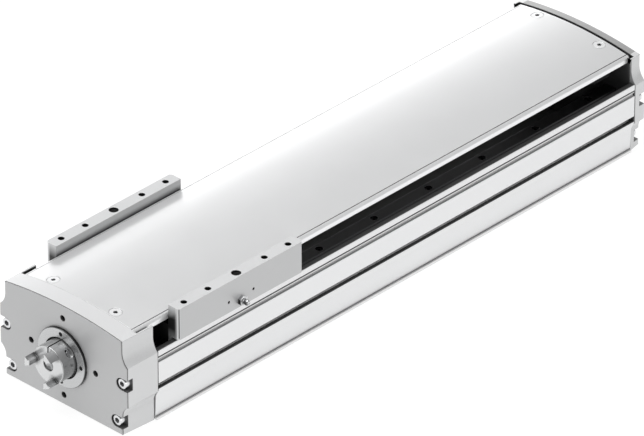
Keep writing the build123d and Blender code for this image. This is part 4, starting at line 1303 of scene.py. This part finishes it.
@dataclass
class Spindle(Assembly):
    """Ball screw spindle with its helical track and plain journals."""

    radius: float = 10.0 * MM
    journal: float = 6.0 * MM
    bearing_seat: float = 8.5 * MM
    chamfer: float = 0.8 * MM
    axis_height: float = 52.0 * MM
    lead: float = 20.0 * MM
    track_depth: float = 1.4 * MM
    track_half_angle: float = 34.0
    track_bands: int = 4
    centre_hole_inset: float = 0.62
    centre_hole_depth: float = 2.0 * MM
    points_round: int = 48
    steps_per_turn: int = 30
    screw_start: float = -320.95 * MM
    screw_end: float = 302.95 * MM
    seat_start: float = -354.7 * MM

    def build(self) -> None:
        """Model the screw part and the two journals, and join them."""
        piece = join((self._screw_part(), *self._journals()))
        piece.name = "spindle_rolled"
        smooth(piece, SMOOTH_TURNED)
        self.pieces["spindle"] = piece

    def _screw_part(self) -> bpy.types.Object:
        """Twist a notched circle along X.

        Returns:
            The screw part as a closed bar.
        """
        bpy.ops.mesh.primitive_circle_add(
            vertices=self.points_round,
            radius=self.radius,
            fill_type="NOTHING",
            location=(self.screw_start, 0.0, self.axis_height),
            rotation=(0.0, math.pi / 2, 0.0),
        )
        bar = bpy.context.active_object
        bpy.ops.object.transform_apply(location=True, rotation=True)
        with editing(bar):
            for band in range(self.track_bands):
                limit = math.radians(self.track_half_angle * (1 - band / self.track_bands))
                select_points(bar, lambda spot, limit=limit: self._turn_from_top(spot) < limit)
                lower = -self.track_depth / self.track_bands
                bpy.ops.transform.translate(value=(0.0, 0.0, lower))
        length = self.screw_end - self.screw_start
        pivot = bpy.data.objects.new("spindle_axis", None)
        bpy.context.scene.collection.objects.link(pivot)
        pivot.location = (0.0, 0.0, self.axis_height)
        bpy.context.view_layer.update()
        twist = bar.modifiers.new("lead", "SCREW")
        twist.axis = "X"
        twist.object = pivot
        twist.angle = 2 * math.pi * length / self.lead
        twist.screw_offset = length
        twist.steps = round(length / self.lead * self.steps_per_turn)
        twist.render_steps = twist.steps
        twist.use_merge_vertices = False
        apply_modifiers(bar)
        bpy.data.objects.remove(pivot)
        with editing(bar):
            for end in (self.screw_start, self.screw_end):
                bpy.ops.mesh.select_all(action="DESELECT")
                select_points(bar, lambda spot, end=end: abs(spot.x - end) < PLANE_MARGIN)
                bpy.ops.mesh.edge_face_add()
        close_up(bar)
        return bar

    def _turn_from_top(self, spot: Vector) -> float:
        """Angle between a spot and the straight line up from the spindle's axis."""
        return abs(math.atan2(spot.y, spot.z - self.axis_height))

    def _journals(self) -> list[bpy.types.Object]:
        """Plain ends beyond the screw part.

        Returns:
            The drive journal and the far journal.
        """
        low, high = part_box("spindle")
        tip = self.journal - self.chamfer
        seat, shoulder = self.seat_start - low.x, self.screw_start - low.x
        drive_rings = (
            (self.journal, seat),
            (self.bearing_seat, seat),
            (self.bearing_seat, shoulder),
        )
        far_rings = ((self.journal, high.x - self.screw_end),)
        made = []
        for start, towards, rings in ((low.x, 1.0, drive_rings), (high.x, -1.0, far_rings)):
            bpy.ops.mesh.primitive_circle_add(
                vertices=self.points_round, radius=tip, fill_type="NGON"
            )
            part = bpy.context.active_object
            with editing(part):
                bpy.ops.mesh.select_all(action="SELECT")
                bpy.ops.mesh.inset(thickness=tip * self.centre_hole_inset)
                bpy.ops.transform.translate(value=(0.0, 0.0, self.centre_hole_depth))
                bpy.ops.mesh.select_all(action="DESELECT")
                bpy.ops.mesh.select_mode(type="EDGE")
                bpy.ops.mesh.select_non_manifold()
                extrude_rings(((self.journal, self.chamfer), *rings), tip, 0.0)
                bpy.ops.mesh.edge_face_add()
            close_up(part)
            centre = Vector((start, 0.0, self.axis_height))
            settle(part, along(Vector((towards, 0.0, 0.0)), centre))
            made.append(part)
        return made

    def dress(self) -> None:
        """Give the spindle its finish and its body."""
        self.dress_pieces({"spindle": ("ground_steel", "spindle", "spindle")})


# Studio


@dataclass
class SoftBox:
    """A large lamp that faces the object."""

    name: str
    place: tuple[float, float, float]
    size: tuple[float, float]
    power: float
    aim: tuple[float, float, float] = (0.0, 0.0, 0.05)

    def build(self) -> None:
        """Hang the lamp and aim it."""
        data = bpy.data.lights.new(self.name, "AREA")
        data.shape = "RECTANGLE"
        data.size, data.size_y = self.size
        data.energy = self.power
        lamp = bpy.data.objects.new(self.name, data)
        bpy.context.scene.collection.objects.link(lamp)
        place = Vector(self.place)
        lamp.matrix_world = along(place - Vector(self.aim), place)


@dataclass
class Studio:
    """Pale floor, soft lamps and the camera at the photograph's angle."""

    azimuth: float = -46.345
    elevation: float = 31.950
    distance: float = 8.414
    focal_length: float = 514.8
    shift_x: float = 0.005
    shift_y: float = -0.0018
    aim: tuple[float, float, float] = (-0.026, 0.0, 0.050)
    sensor_width: float = 36.0
    farthest: float = 100.0
    floor_half_size: float = 12.0
    floor_tone: float = 0.20
    floor_roughness: float = 0.9
    floor_glow: float = 0.86
    sky_strength: float = 0.46
    lamps: tuple[SoftBox, ...] = (
        SoftBox("top_softbox", (-0.5, 0.3, 2.4), (2.2, 2.6), 42.0),
        SoftBox("back_softbox", (2.4, 2.6, 0.9), (2.6, 1.2), 17.0),
        SoftBox("side_softbox", (-0.5, -2.8, 0.7), (2.6, 1.0), 15.0),
    )

    def build(self) -> None:
        """Set the floor, the light and the camera."""
        self._floor()
        self._sky()
        for lamp in self.lamps:
            lamp.build()
        self._camera()
        bpy.context.scene.view_settings.view_transform = "Standard"

    def _floor(self) -> None:
        """Plain pale floor under the object."""
        bpy.ops.mesh.primitive_plane_add(size=2 * self.floor_half_size, location=(0.0, 0.0, 0.0))
        floor = bpy.context.active_object
        floor.name = "floor"
        material = bpy.data.materials.new("pale_floor")
        material.use_nodes = True
        surface = material.node_tree.nodes["Principled BSDF"]
        surface.inputs["Base Color"].default_value = (*(self.floor_tone,) * 3, 1.0)
        surface.inputs["Roughness"].default_value = self.floor_roughness
        surface.inputs["Emission Color"].default_value = WHITE
        surface.inputs["Emission Strength"].default_value = self.floor_glow
        floor.data.materials.append(material)

    def _sky(self) -> None:
        """Even white light from all round."""
        world = bpy.data.worlds.new("studio_air")
        world.use_nodes = True
        background = world.node_tree.nodes["Background"]
        background.inputs["Color"].default_value = WHITE
        background.inputs["Strength"].default_value = self.sky_strength
        bpy.context.scene.world = world

    def _camera(self) -> None:
        """Camera at the photograph's angle."""
        azimuth = math.radians(self.azimuth)
        elevation = math.radians(self.elevation)
        back = Vector((
            math.sin(azimuth) * math.cos(elevation),
            -math.cos(azimuth) * math.cos(elevation),
            math.sin(elevation),
        ))
        data = bpy.data.cameras.new("camera")
        data.sensor_width = self.sensor_width
        data.lens = self.focal_length
        data.shift_x = self.shift_x
        data.shift_y = self.shift_y
        data.clip_end = self.farthest
        camera = bpy.data.objects.new("camera", data)
        bpy.context.scene.collection.objects.link(camera)
        place = Vector(self.aim) + back * self.distance
        turn = (-back).to_track_quat("-Z", "Y").to_matrix().to_4x4()
        camera.matrix_world = Matrix.Translation(place) @ turn
        bpy.context.scene.camera = camera


def main() -> None:
    """Build, dress and light the linear axis.
    """
    logging.basicConfig(level=logging.INFO, format="%(name)s: %(message)s")
    effects = SharedEffects.build()
    finishes = {finish.name: finish.build(effects) for finish in FINISHES}
    for kind in (Housing, Cover, DriveEnd, Guides, Slide, Spindle, FarEnd):
        assembly = kind(finishes)
        assembly.build()
        assembly.dress()
    Studio().build()


if __name__ == "__main__":
    main()
